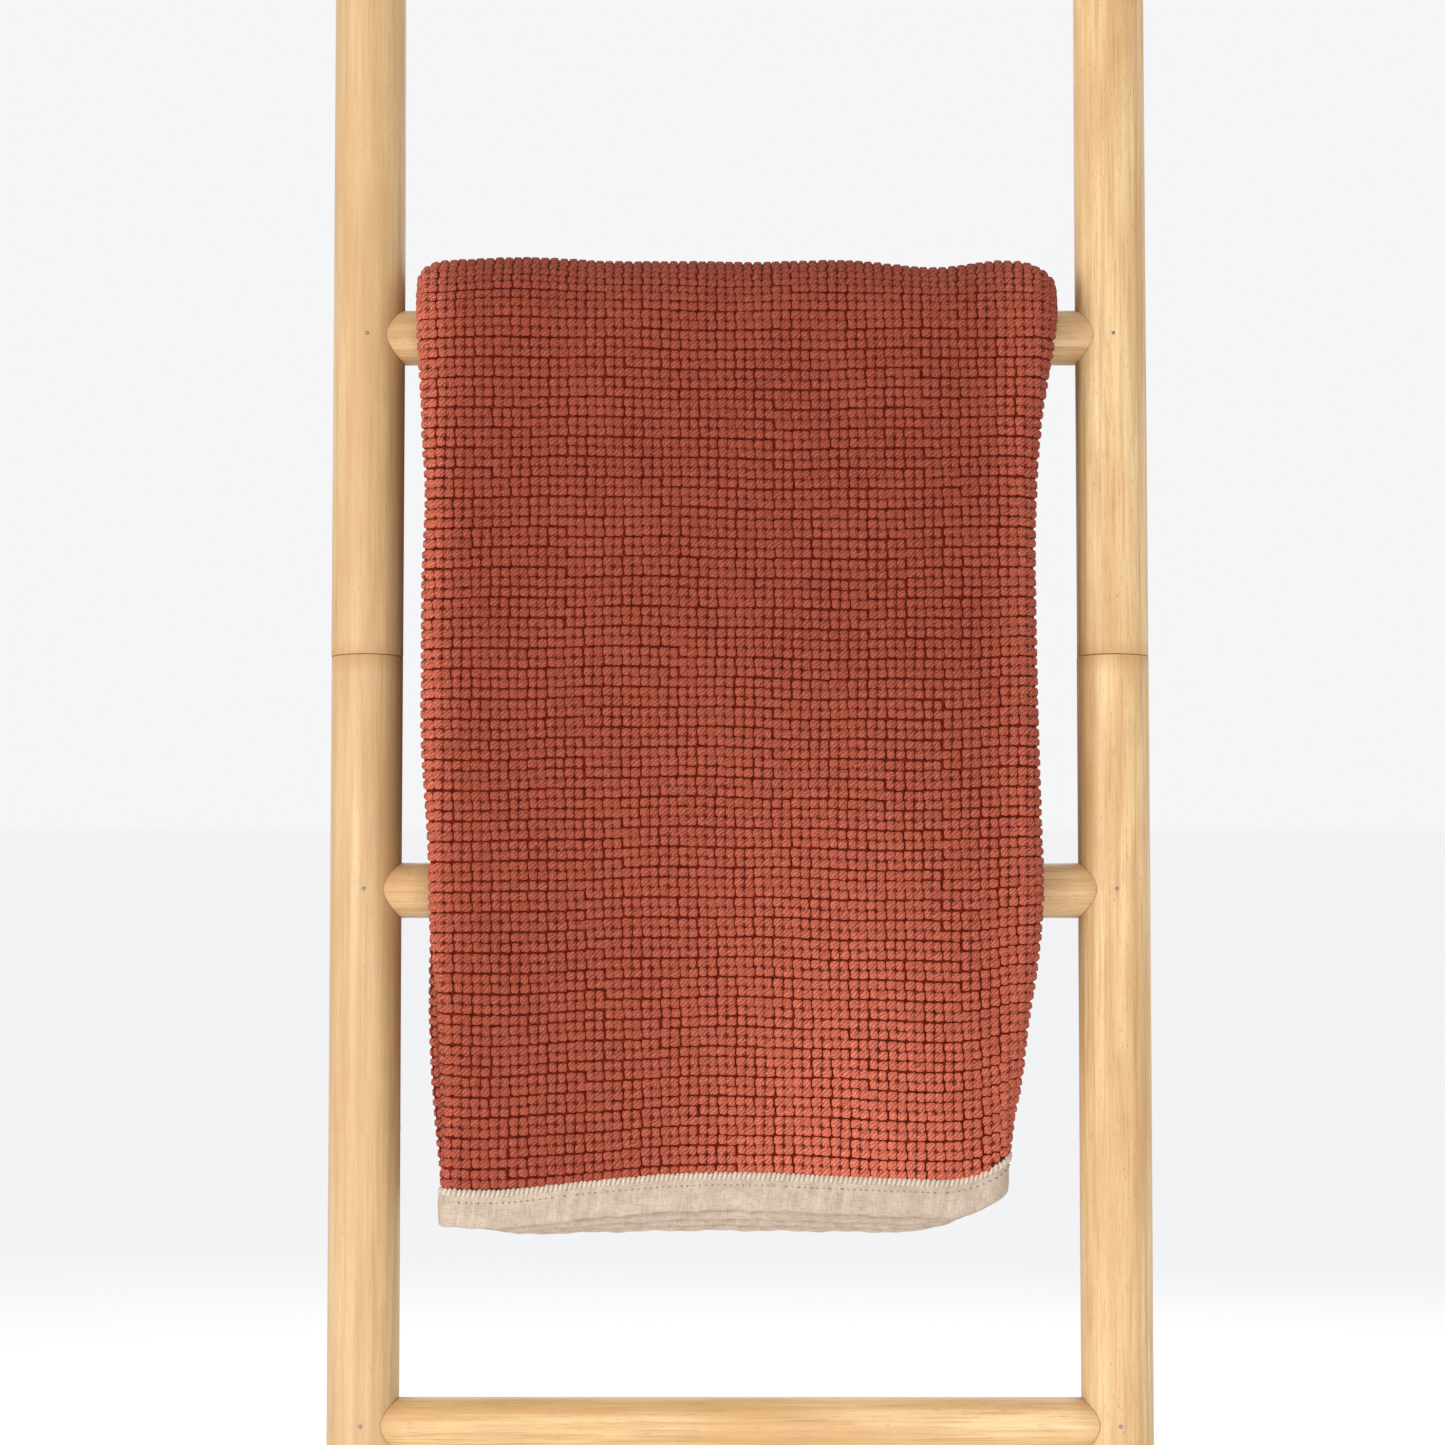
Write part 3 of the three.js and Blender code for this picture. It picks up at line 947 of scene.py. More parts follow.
@dataclass
class Fixings:
    """The headed pins at the poles' front and the countersunk screws at their back."""

    layout: LadderLayout
    pin_radius: float = 1.15 * MM
    pin_sunk: float = 0.02 * MM
    pin_shank: float = 8.4 * MM
    pin_profile: Table = ((0, 1), (0.55, 0.96), (0.9, 0.72), (1, 0.3), (1, -1.5), (0.6, -2), (0.6, -20), (0, -22))
    screw_radius: float = 4 * MM
    screw_sunk: float = 0.25 * MM
    screw_from_seam: float = 45 * MM
    screw_profile: Table = (
        (0, -0.42), (0.2, -0.4), (0.26, -0.02), (0.86, 0), (1, -0.05), (0.94, -0.2), (0.5, -1), (0.5, -7.5), (0, -8),
    )

    def _points(
        self, heights: Sequence[float], facing: int, depth: float, size: tuple[float, float, float]
    ) -> tuple[Array, Array, Array]:
        """The places, rotations and sizes of one kind of fixing on both poles.

        Args:
            heights: Heights along the poles.
            facing: -1 for the poles' front, 1 for their back.
            depth: How far from the pole's axis its head is.
            size: Its size along the pattern's own axes.
        Returns:
            One row for each fixing in each array.
        """
        local = [(side.value * self.layout.pole_x, facing * depth, height) for side in Side for height in heights]
        tilt = Matrix.Rotation(-self.layout.lean, 3, "X") @ Matrix.Rotation(-facing * math.pi / 2, 3, "X")
        turn = tuple(tilt.to_euler("XYZ"))
        return self.layout.lean_back(np.array(local)), np.tile(turn, (len(local), 1)), np.tile(size, (len(local), 1))

    def build(self, material: bpy.types.Material) -> list[bpy.types.Object]:
        """Makes the pins and the screws, one object each, in steel."""
        layout, radius = self.layout, self.layout.pole_radius
        size = (self.pin_radius, self.pin_radius, -self.pin_shank / self.pin_profile[-1][1])
        pins = self._points(layout.rung_heights, -1, radius + self.pin_sunk, size)
        seams = [layout.seam - self.screw_from_seam, layout.seam + self.screw_from_seam]
        screws = self._points(seams, 1, radius - self.screw_sunk, (self.screw_radius,) * 3)
        pin = turned_pattern("pin_pattern", self.pin_profile, 12)
        screw = turned_pattern("screw_pattern", self.screw_profile, 20)
        return [
            Repeat("pins", seed=3, size_jitter=0.06).grow("pin_heads", pins, pin, material),
            Repeat("screws", seed=5).grow("spigot_screw_heads", screws, screw, material),
        ]


@dataclass
class Ladder:
    """The whole rack: poles, rungs, fixings and the dowels that hold it together."""

    layout: LadderLayout
    nodes: dict[tuple[Side, Length], tuple[float, ...]] = field(default_factory=lambda: {
        (Side.LEFT, Length.LOWER): (0.150, 0.463), (Side.LEFT, Length.UPPER): (1.205, 1.432),
        (Side.RIGHT, Length.LOWER): (0.118, 0.458), (Side.RIGHT, Length.UPPER): (1.172, 1.390),
    })
    dullness: dict[Side, float] = field(default_factory=lambda: {Side.LEFT: 1.0, Side.RIGHT: 0.0})

    def build(self, bamboo: bpy.types.Material, steel: bpy.types.Material, beech: bpy.types.Material) -> None:
        """Makes and places every piece of the rack.

        Args:
            bamboo: For poles and rungs.
            steel: For pins and screws.
            beech: For the dowels and spigots, which stay as packed.
        """
        for seed, ((side, length), nodes) in enumerate(self.nodes.items(), start=1):
            piece = Pole(self.layout, side, length, nodes, seed, self.dullness[side]).build(bamboo)
            rides(piece, "ladder", [f"pole_{side.word}_{length.value}"])
        for number in range(1, len(self.layout.rung_heights) + 1):
            rides(Rung(self.layout, number).build(bamboo), "ladder", [f"rung_{number}"])
        pins, screws = Fixings(self.layout).build(steel)
        words = [side.word for side in Side]
        rides(pins, "ladder", [f"rung_{n}_pin_{word}" for n in range(1, 5) for word in words])
        rides(screws, "ladder", [f"spigot_screw_{word}_{end.value}" for word in words for end in Length])
        for name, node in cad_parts.items():
            if "dowel" in name or name in ("spigot_left", "spigot_right"):
                for slot in node.material_slots:
                    slot.material = beech


# ---- The throw -----------------------------------------------------------------------------------


@dataclass
class Hang:
    """The throw's side view: up in front, over its rung, down behind.

    Lengths run along its outer face, from the lowest edge in front, and depths go outwards from the
    face that lies on the rungs.
    """

    layout: LadderLayout
    near: float = 17.4 * MM
    thickness: float = 29 * MM
    front_drop: float = 0.5364
    back_drop: float = 0.526

    def __post_init__(self) -> None:
        """Works out the length of each stretch."""
        self.over, self.below = self.layout.rung_axis(3), self.layout.rung_axis(2)
        self.far, lean = self.near + self.thickness, self.layout.lean
        front = self.below.z - (self.over.z - self.front_drop)
        slope = (self.over - self.below).length
        self.stops = np.cumsum([front, self.far * lean, slope, self.far * (math.pi - lean), self.back_drop])
        self.total = float(self.stops[-1])

    def at(self, length: Array) -> tuple[Array, Array, Array]:
        """The inner face at some lengths.

        Args:
            length: Lengths along the outer face.
        Returns:
            Points, directions outwards and directions onwards, as y and z.
        """
        s = np.asarray(length, float)
        lean, stops = self.layout.lean, self.stops
        ranges = [s < stops[0], s < stops[1], s < stops[2], s < stops[3]]
        turned = [np.zeros_like(s), (s - stops[0]) / self.far, np.full_like(s, lean)]
        turned.append(lean + (s - stops[2]) / self.far)
        angle = np.select(ranges, [math.pi - turn for turn in turned], 0.0)
        out = np.stack([np.cos(angle), np.sin(angle)], axis=-1)
        on = np.stack([np.sin(angle), -np.cos(angle)], axis=-1)
        start = np.where((s < stops[1])[..., None], self.below[1:], self.over[1:])
        straight = [s < stops[0], (s >= stops[1]) & (s < stops[2]), s >= stops[3]]
        run = np.select(straight, [s - stops[0], s - stops[2], s - stops[3]], 0.0)
        return start + self.near * out + run[..., None] * on, out, on

    def depth_below(self, length: Array) -> Array:
        """How far below its rung's axis the throw is at some lengths, and 0 over the rung."""
        return np.maximum(0.0, self.over.z - self.at(length)[0][..., 1])

    def is_front(self, length: Array) -> Array:
        """Whether each length is in front of the top of the arch."""
        return np.asarray(length) < (self.stops[2] + self.stops[3]) / 2

    def bearings(self, out_x: Array, out_n: Array, length: Array) -> Iterable[tuple[Vector, Vector]]:
        """At some places, the direction off the cloth and the one along the throw.

        Args:
            out_x: How much the cloth faces to the right.
            out_n: How much it faces away from the rungs.
            length: Lengths along the throw.
        Returns:
            Two directions for each place.
        """
        _, out, on = self.at(length)
        for x, n, away, ahead in zip(out_x, out_n, out, on):
            yield Vector((x, n * away[0], n * away[1])).normalized(), Vector((0, *ahead))


@dataclass(frozen=True)
class Swell:
    """A soft rise or hollow of the throw: where it is, how far it spreads and how high it is."""

    x: float
    depth: float
    wide: float
    tall: float
    height: float


@dataclass
class Folding:
    """How the sheet is folded in four, seen along the throw, with the edges that it shows.

    The tables give half-widths by depth below the rung; tucks are how far in from the loose edges' place the
    innermost leaf's and the next leaf's edges are.
    """

    hang: Hang
    pitch: float = 7.25 * MM
    cloth: float = 5.2 * MM
    left: Table = (
        (0.0, 0.1955), (0.03, 0.1930), (0.07, 0.1915), (0.10, 0.1885), (0.14, 0.1912), (0.257, 0.1912),
        (0.306, 0.1865), (0.343, 0.1863), (0.365, 0.1855), (0.40, 0.1810), (0.45, 0.1790), (0.49, 0.1770),
        (0.515, 0.1800), (0.54, 0.1810),
    )
    right: Table = (
        (0.0, 0.192), (0.035, 0.1845), (0.081, 0.1794), (0.13, 0.1775), (0.22, 0.1785), (0.29, 0.1803),
        (0.343, 0.1822), (0.385, 0.179), (0.424, 0.1722), (0.455, 0.1700), (0.48, 0.1655), (0.505, 0.161),
        (0.54, 0.161),
    )
    loose: Table = (
        (0.0, 0.1890), (0.30, 0.1845), (0.35, 0.1865), (0.40, 0.1880), (0.45, 0.1865), (0.50, 0.1820), (0.54, 0.1770),
    )
    back_left: Table = ((0.0, 0.1955), (0.2, 0.189), (0.54, 0.177))
    back_right: Table = ((0.0, 0.192), (0.10, 0.177), (0.40, 0.172), (0.46, 0.164), (0.54, 0.156))
    tucks: tuple[float, float] = (3 * MM, 1 * MM)
    shoulder: float = 7.5 * MM
    shoulder_drop: float = 7 * MM
    settle: float = 0.10
    swells: tuple[Swell, ...] = (
        Swell(-0.165, 0.25, 0.030, 0.30, 2.6 * MM), Swell(-0.105, 0.36, 0.035, 0.28, -1.3 * MM),
        Swell(0.055, 0.44, 0.075, 0.12, 4.8 * MM), Swell(0.125, 0.20, 0.030, 0.22, -1.6 * MM),
        Swell(-0.02, 0.14, 0.060, 0.12, 1.6 * MM), Swell(-0.133, 0.0, 0.040, 0.030, 2.0 * MM),
        Swell(0.118, 0.0, 0.028, 0.035, -2.6 * MM), Swell(0.158, 0.0, 0.018, 0.030, 1.4 * MM),
    )
    ripple: Table = ((0.5 * MM, 38, 9, 0), (0.35 * MM, 71, -16, 1))
    hem_wave: Table = ((7.0 * MM, -0.005, 0.085), (1.5 * MM, 0.10, 0.05), (-4.5 * MM, -0.150, 0.045))
    back_wave: Table = ((-3 * MM, -0.08, 0.06), (-4 * MM, 0.12, 0.05))
    curl: float = 18 * MM
    hem_tuck: float = 9 * MM
    back_slip: float = 5 * MM

    def __post_init__(self) -> None:
        """Works out the leaves' depths and the folds' radii."""
        half = self.pitch / 2
        self.depths = [half + self.pitch * k for k in range(4)]  # innermost first
        self.middle = (self.depths[0] + self.depths[3]) / 2
        self.big, self.small = 1.5 * self.pitch, half

    def _edge(self, length: Array, front: Table, back: Table) -> Array:
        """A half-width at some lengths, smoothed, from its values by depth in front and behind."""
        length = np.asarray(length, float)
        total = np.zeros_like(length)
        offsets = np.linspace(-0.02, 0.02, 9)
        for offset in offsets:
            at = length + offset
            deep = self.hang.depth_below(at)
            both = (np.interp(deep, *zip(*table)) for table in (front, back))
            total += np.where(self.hang.is_front(at), *both)
        point, out, _ = self.hang.at(length)
        height = point[..., 1] + out[..., 1] * self.hang.thickness
        rise = np.clip(1 - (self.hang.over.z + self.hang.far - height) / self.shoulder_drop, 0, 1)
        return total / len(offsets) - self.shoulder * rise**2

    def edges(self, length: Array) -> tuple[Array, Array, Array]:
        """The folded throw's left edge, right edge and its loose edges' place, as x."""
        left, loose = self._edge(length, self.left, self.back_left), self._edge(length, self.loose, self.loose)
        return -left, self._edge(length, self.right, self.back_right), -loose

    def turns(self, left: "float | Array", right: "float | Array") -> "tuple[float | Array, float | Array]":
        """Where the flat leaves end and the left and right folds start, from the folds' outermost x."""
        return left + self.cloth / 2 + self.small, right - self.cloth / 2 - self.big

    def swell(self, x: Array, length: Array) -> Array:
        """How far the cloth stands out at some places. What is below the rung is weaker behind."""
        deep, front = self.hang.depth_below(length), self.hang.is_front(length)
        total = ripples(self.ripple, x, length)
        for one in self.swells:
            share = np.where(front | (one.depth == 0), 1, 0.6)
            total = total + one.height * hump(x, one.x, one.wide) * hump(deep, one.depth, one.tall) * share
        return total

    def section(self, left: float, right: float, loose: float, fine: int = 1) -> tuple[Array, Array]:
        """The folded sheet across the throw, from one loose edge to the other.

        Args:
            left: The left fold's outermost x.
            right: The right fold's outermost x.
            loose: The loose edges' x.
            fine: How many times finer than usual the flat leaves are cut.
        Returns:
            (x, depth) of each point of the sheet's middle, and its normal there.
        """
        innermost, third, second, outermost = self.depths
        turn_left, turn_right = self.turns(left, right)
        leaf, quarter = 22 * fine, math.pi / 2

        def line(start: float, end: float, depth: float, count: int) -> list[tuple[float, float]]:
            """A flat leaf without its first point."""
            return [(x, depth) for x in np.linspace(start, end, count)[1:]]

        def arc(
            x: float, depth: float, radius: float, start: float, end: float, count: int
        ) -> list[tuple[float, float]]:
            """A fold without its first point."""
            turns = np.linspace(start, end, count)[1:]
            return [(x + radius * math.cos(turn), depth + radius * math.sin(turn)) for turn in turns]

        points = [(loose + self.tucks[1], third)]
        points += line(loose + self.tucks[1], turn_right, third, leaf)
        points += arc(turn_right, self.middle, self.small, -quarter, quarter, 8)
        points += line(turn_right, turn_left, second, leaf)
        points += arc(turn_left, second + self.small, self.small, -quarter, -3 * quarter, 10)
        points += line(turn_left, turn_right, outermost, 2 * leaf)
        points += arc(turn_right, self.middle, self.big, quarter, -quarter, 15)
        points += line(turn_right, loose + self.tucks[0], innermost, leaf)
        track = np.array(points)
        ahead = np.gradient(track, axis=0)
        ahead /= np.linalg.norm(ahead, axis=1, keepdims=True)
        return track, np.stack([-ahead[:, 1], ahead[:, 0]], axis=1)

    def outer(self, place: Array, left: "float | Array", right: "float | Array") -> tuple[Array, Array, Array, Array]:
        """The good face: the outermost leaf, its folds and, beyond the right fold, the innermost leaf.

        Args:
            place: Distances across the cloth from its middle line, along its good face.
            left: The left fold's outermost x, for each place.
            right: The right fold's outermost x.
        Returns:
            x, depth, and the normal's x and depth, of the sheet's middle there.
        """
        turn_left, turn_right = self.turns(left, right)
        around_left, around_right = self.small + self.cloth / 2, self.big + self.cloth / 2
        beyond_left = np.clip((turn_left - place) / around_left, 0, math.pi)
        beyond_right = np.clip((place - turn_right) / around_right, 0, math.pi)
        returned = np.maximum(0, place - turn_right - math.pi * around_right)
        x = np.clip(place, turn_left, turn_right) - returned
        x = x - self.small * np.sin(beyond_left) + self.big * np.sin(beyond_right)
        depth = self.depths[3] - self.small * (1 - np.cos(beyond_left)) - self.big * (1 - np.cos(beyond_right))
        angle = beyond_right - beyond_left
        return x, depth, np.sin(angle), np.cos(angle)

    def ends(self, x: Array, leaf: Array) -> tuple[Array, Array]:
        """Where the sheet's two ends are, as lengths along the throw.

        Args:
            x: Places across the throw.
            leaf: The depth of the sheet there, from the rungs outwards.
        Returns:
            The front end's and the back end's lengths.
        """
        inner = np.clip((self.depths[3] - leaf) / (3 * self.pitch), 0, 1)
        curl = self.curl * np.clip((x - 0.110) / 0.052, 0, 1) ** 2.8
        middle = 1 - np.clip((np.abs(x + 0.015) - 0.118) / 0.042, 0, 1)
        front = humps(self.hem_wave, x) * (1 - 0.75 * inner) + curl * (1 + 0.3 * inner)
        back = self.hang.total + humps(self.back_wave, x) + self.back_slip * inner
        return front - self.hem_tuck * inner**0.7 * middle, back

    def lengths(self, nominal: Array, x: Array, leaf: Array, cover: float = 0.0) -> Array:
        """Lengths along the throw of rows of the cloth, which follow its ends only near them.

        Args:
            nominal: The rows' lengths if the cloth's ends were straight.
            x: Places across the throw.
            leaf: The depth of the sheet there.
            cover: How far each end is drawn back under its binding.
        Returns:
            The lengths.
        """
        front, back = self.ends(x, leaf)
        early, late = np.exp(-nominal / self.settle), np.exp(-(self.hang.total - nominal) / self.settle)
        return nominal + (front + cover) * early + (back - cover - self.hang.total) * late

    def place(self, x: Array, depth: Array, length: Array) -> Array:
        """Points of the row frame from places across, outwards and along the throw."""
        at, out, _ = self.hang.at(length)
        depth = depth + self.swell(x, length)
        flat = at + depth[..., None] * out
        return np.stack([np.broadcast_to(x, depth.shape), flat[..., 0], flat[..., 1]], axis=-1)


@dataclass
class Cloth:
    """The sheet itself, folded in four and hung over the rung."""

    folding: Folding
    rows: int = 168
    hem_cover: float = 3 * MM

    def build(self, material: bpy.types.Material) -> bpy.types.Object:
        """Makes the sheet, in the cloth's ground, with its real thickness."""
        folding = self.folding
        grid, cloth = [], []
        for nominal in np.linspace(0, 1, self.rows) * folding.hang.total:
            track, _ = folding.section(*(float(v) for v in folding.edges(nominal)))
            length = folding.lengths(np.full(len(track), nominal), track[:, 0], track[:, 1], self.hem_cover)
            grid.append(folding.place(track[:, 0], track[:, 1], length))
            steps = np.append(0, np.cumsum(np.linalg.norm(np.diff(track, axis=0), axis=1)))
            cloth.append(np.stack([steps, length, np.zeros_like(length)], axis=1))
        faces = strip_faces(self.rows, len(grid[0]))
        piece = mesh_object("throw_cloth", np.vstack(grid), faces, material, {"cloth": np.vstack(cloth)})
        shell = piece.modifiers.new("thickness", "SOLIDIFY")
        shell.thickness, shell.offset, shell.use_even_offset = folding.cloth, 0.0, False
        return settled(piece)


class Part(Enum):
    """The parts that the raised yarns are made in: each rides as one piece."""

    FRONT = "front"
    TOP = "top"
    BACK = "back"
    INNER_FRONT = "inner_front"
    INNER_BACK = "inner_back"


@dataclass
class Weave:
    """The raised yarns of the good face: floats that go across and along by turns, grouped in fours.

    A float is drawn towards its group's middle by pull; slash is how far two of each four hold back from it.
    """

    folding: Folding
    columns: tuple[int, int] = (-42, 104)
    column: float = 5.67 * MM
    row: float = 6.08 * MM
    first_row: float = 2 * MM
    size_across: tuple[float, float, float] = (6.9 * MM, 6.45 * MM, 1.9 * MM)
    size_along: tuple[float, float, float] = (6.9 * MM, 6.1 * MM, 1.805 * MM)
    inner_height: float = 0.55
    pull_across: float = 0.25 * MM
    pull_along: float = 0.35 * MM
    slash: float = 0.30 * MM
    sunk: float = 0.15 * MM
    hem: float = 23 * MM
    wander: Table = ((0.7 * MM, 0.05, 0.11, 0), (0.35 * MM, 0.9, 0.37, 0))
    drift: Table = ((0.9 * MM, 0.13, 0.04, 1), (0.4 * MM, 0.41, -0.21, 0))
    seed: int = 11

    def _steps(self, columns: int, rows: int, random: np.random.Generator) -> Array:
        """Which rows pair up, column by column: 0 or 1, changed every few columns and rows.

        Args:
            columns: How many columns.
            rows: How many rows.
            random: The source of chance.
        Returns:
            A table of 0 and 1.
        """
        table = np.zeros((columns, rows), int)
        row = 0
        while row < rows:
            tall = int(random.integers(4, 9))
            column, value = 0, int(random.integers(0, 2))
            while column < columns:
                wide = 2 * int(random.integers(8, 20))
                table[column : column + wide, row : row + tall] = value
                column, value = column + wide, 1 - value
            row += tall
        return table

    def _clear(self, floats: dict[str, Array], keep: "Array | bool" = True) -> dict[str, Array]:
        """Only the floats that are clear of the bindings and, of those, only the ones to keep."""
        front, back = self.folding.ends(floats["x"], floats["leaf"])
        keep = keep & (floats["length"] > front + self.hem) & (floats["length"] < back - self.hem)
        return {key: np.broadcast_to(value, keep.shape)[keep] for key, value in floats.items()}

    def _floats(self) -> dict[str, Array]:
        """The good face's floats.

        Returns:
            Arrays by name, one row for each float.
        """
        folding, total = self.folding, self.folding.hang.total
        columns, rows = np.arange(*self.columns), np.arange(0, int(total / self.row) + 3)
        steps = self._steps(len(columns), len(rows), np.random.default_rng(self.seed))
        c, r = np.meshgrid(columns, rows, indexing="ij")
        aside = np.where(c % 2 == 0, 1.0, -1.0)  # towards its group's middle, as is on
        on = np.where((r + steps) % 2 == 0, 1.0, -1.0)
        slanted = aside != on
        away = np.where(slanted, self.slash, -0.25 * self.slash)
        across = c * self.column + ripples(self.wander, c, r) + aside * (self.pull_across - away)
        nominal = r * self.row + ripples(self.drift, c, r) + self.first_row + on * (self.pull_along - away)
        left, right, loose = folding.edges(np.clip(nominal, 0, total))
        x, depth, out_x, out_n = folding.outer(across, left, right)
        length = folding.lengths(nominal, x, depth)
        turn_left, turn_right = folding.turns(left, right)
        half = folding.cloth / 2
        around, beyond = math.pi * (folding.big + half), across - turn_right
        inner = beyond > 0.85 * around
        keep = turn_left - across < 0.85 * math.pi * (folding.small + half)
        keep &= beyond < around + turn_right - loose - 6 * MM
        proud = half - self.sunk
        floats = {
            "x": x, "leaf": depth, "place_x": x + out_x * proud, "depth": depth + out_n * proud, "length": length,
            "out_x": out_x, "out_n": out_n, "lay": np.where(slanted, 1.0, -1.0), "fade": self._fade(x, length),
            "heart": aside, "inner": inner, "low": np.where(inner, self.inner_height, 1.0),
        }
        return self._clear(floats, keep)

    def _fade(self, x: Array, length: Array) -> Array:
        """How much painted light brightens the cloth, from 0 to 1: most low down in front and along its edges."""
        hang = self.folding.hang
        deep = hang.depth_below(length)
        low = np.clip((deep - 0.20) / 0.30, 0, 1) ** 1.3
        brightened = low * (0.16 + 0.84 * hump(x, 0.070, 0.090)) + 0.12 * hump(deep, 0.27, 0.12) * hump(x, 0.0, 0.16)
        brightened = brightened + humps(((0.60, -0.190, 0.014), (0.25, 0.170, 0.016)), x)
        return np.clip(np.where(hang.is_front(length), brightened, 0.4 * low), 0, 1)

    def _loose_floats(self) -> dict[str, Array]:
        """The floats along the loose edges, which show behind the left fold.

        Returns:
            Arrays by name, one row for each float.
        """
        folding, total = self.folding, self.folding.hang.total
        rows, half, found = np.arange(4, int(total / self.row) - 3), self.folding.cloth / 2, []
        for leaf in (1, 0):
            nominal = (rows + 0.5 * leaf + 0.25) * self.row
            loose = folding.edges(nominal)[2] + folding.tucks[leaf]
            for inset, angle in ((0.4 * MM, -90.0), (3.4 * MM, 0.0), (9.0 * MM, 0.0), (3.4 * MM, 180.0)):
                x, out_x, out_n = loose + inset, math.sin(math.radians(angle)), math.cos(math.radians(angle))
                proud = 0.0 if angle < 0 else half - 0.2 * MM
                depth = np.full_like(x, folding.depths[leaf])
                floats = {
                    "x": x, "leaf": depth, "place_x": x + out_x * proud, "depth": depth + out_n * proud,
                    "length": folding.lengths(nominal, x, depth), "out_x": out_x, "out_n": out_n, "fade": 0.3,
                    "lay": np.where((rows + leaf) % 2 == 0, 1.0, -1.0), "heart": np.where(rows % 2 == 0, 1.0, -1.0),
                    "low": 1.0,
                }
                found.append(self._clear(floats))
        return {key: np.concatenate([floats[key] for floats in found]) for key in found[0]}

    def _grow(
        self, name: str, floats: dict[str, Array], pattern: bpy.types.Object, material: bpy.types.Material, seed: int
    ) -> bpy.types.Object:
        """Makes one piece of raised yarns.

        Args:
            name: Its name.
            floats: What _floats gives.
            pattern: One float.
            material: Yarn.
            seed: The seed of its small differences.
        Returns:
            The object.
        """
        places = self.folding.place(floats["place_x"], floats["depth"], floats["length"])
        bearings = self.folding.hang.bearings(floats["out_x"], floats["out_n"], floats["length"])
        turns, sizes = [], []
        for (normal, onward), lay, low in zip(bearings, floats["lay"], floats["low"]):
            turns.append(aimed(onward.cross(normal).normalized() if lay > 0 else onward, normal))
            long, wide, high = self.size_across if lay > 0 else self.size_along
            sizes.append((long, wide, high * low))
        marks = {key: floats[key] for key in ("lay", "fade", "heart")}
        grower = Repeat(name, seed=seed, turn_jitter=0.10, size_jitter=0.06)
        return grower.grow(name, (places, np.array(turns), np.array(sizes)), pattern, material, marks)

    def build(self, material: bpy.types.Material) -> list[bpy.types.Object]:
        """Makes the raised yarns: one object for each part and one for the loose edges."""
        pattern = cushion_pattern("float_pattern", sink=0.35, square=3.6)
        floats, stops = self._floats(), self.folding.hang.stops
        length, inner = floats["length"], floats["inner"]
        ahead = self.folding.hang.is_front(length)
        ranges = {
            Part.FRONT: ~inner & (length < stops[2]),
            Part.TOP: ~inner & (length >= stops[2]) & (length < stops[3]),
            Part.BACK: ~inner & (length >= stops[3]),
            Part.INNER_FRONT: inner & ahead,
            Part.INNER_BACK: inner & ~ahead,
        }
        groups = {part.value: {key: value[some] for key, value in floats.items()} for part, some in ranges.items()}
        pieces = [
            self._grow(f"throw_weave_{word}", some, pattern, material, self.seed + index)
            for index, (word, some) in enumerate(groups.items())
        ]
        return pieces + [self._grow("throw_weave_edges", self._loose_floats(), pattern, material, self.seed + 9)]


@dataclass(frozen=True)
class Stitch:
    """A row of stitches: how far apart, how far below the binding's upper edge, how big and how slanted they are."""

    pitch: float
    below: float
    size: tuple[float, float, float]
    slant: float = 0.0


class Row(Enum):
    """The binding's rows of stitches: whip stitches along its upper edge and seam stitches below them."""

    WHIP = Stitch(2.9 * MM, 2.3 * MM, (5.9 * MM, 2.75 * MM, 1.6 * MM), 0.36)
    SEAM = Stitch(3.7 * MM, 7.8 * MM, (1.1 * MM, 1.9 * MM, 0.32 * MM))


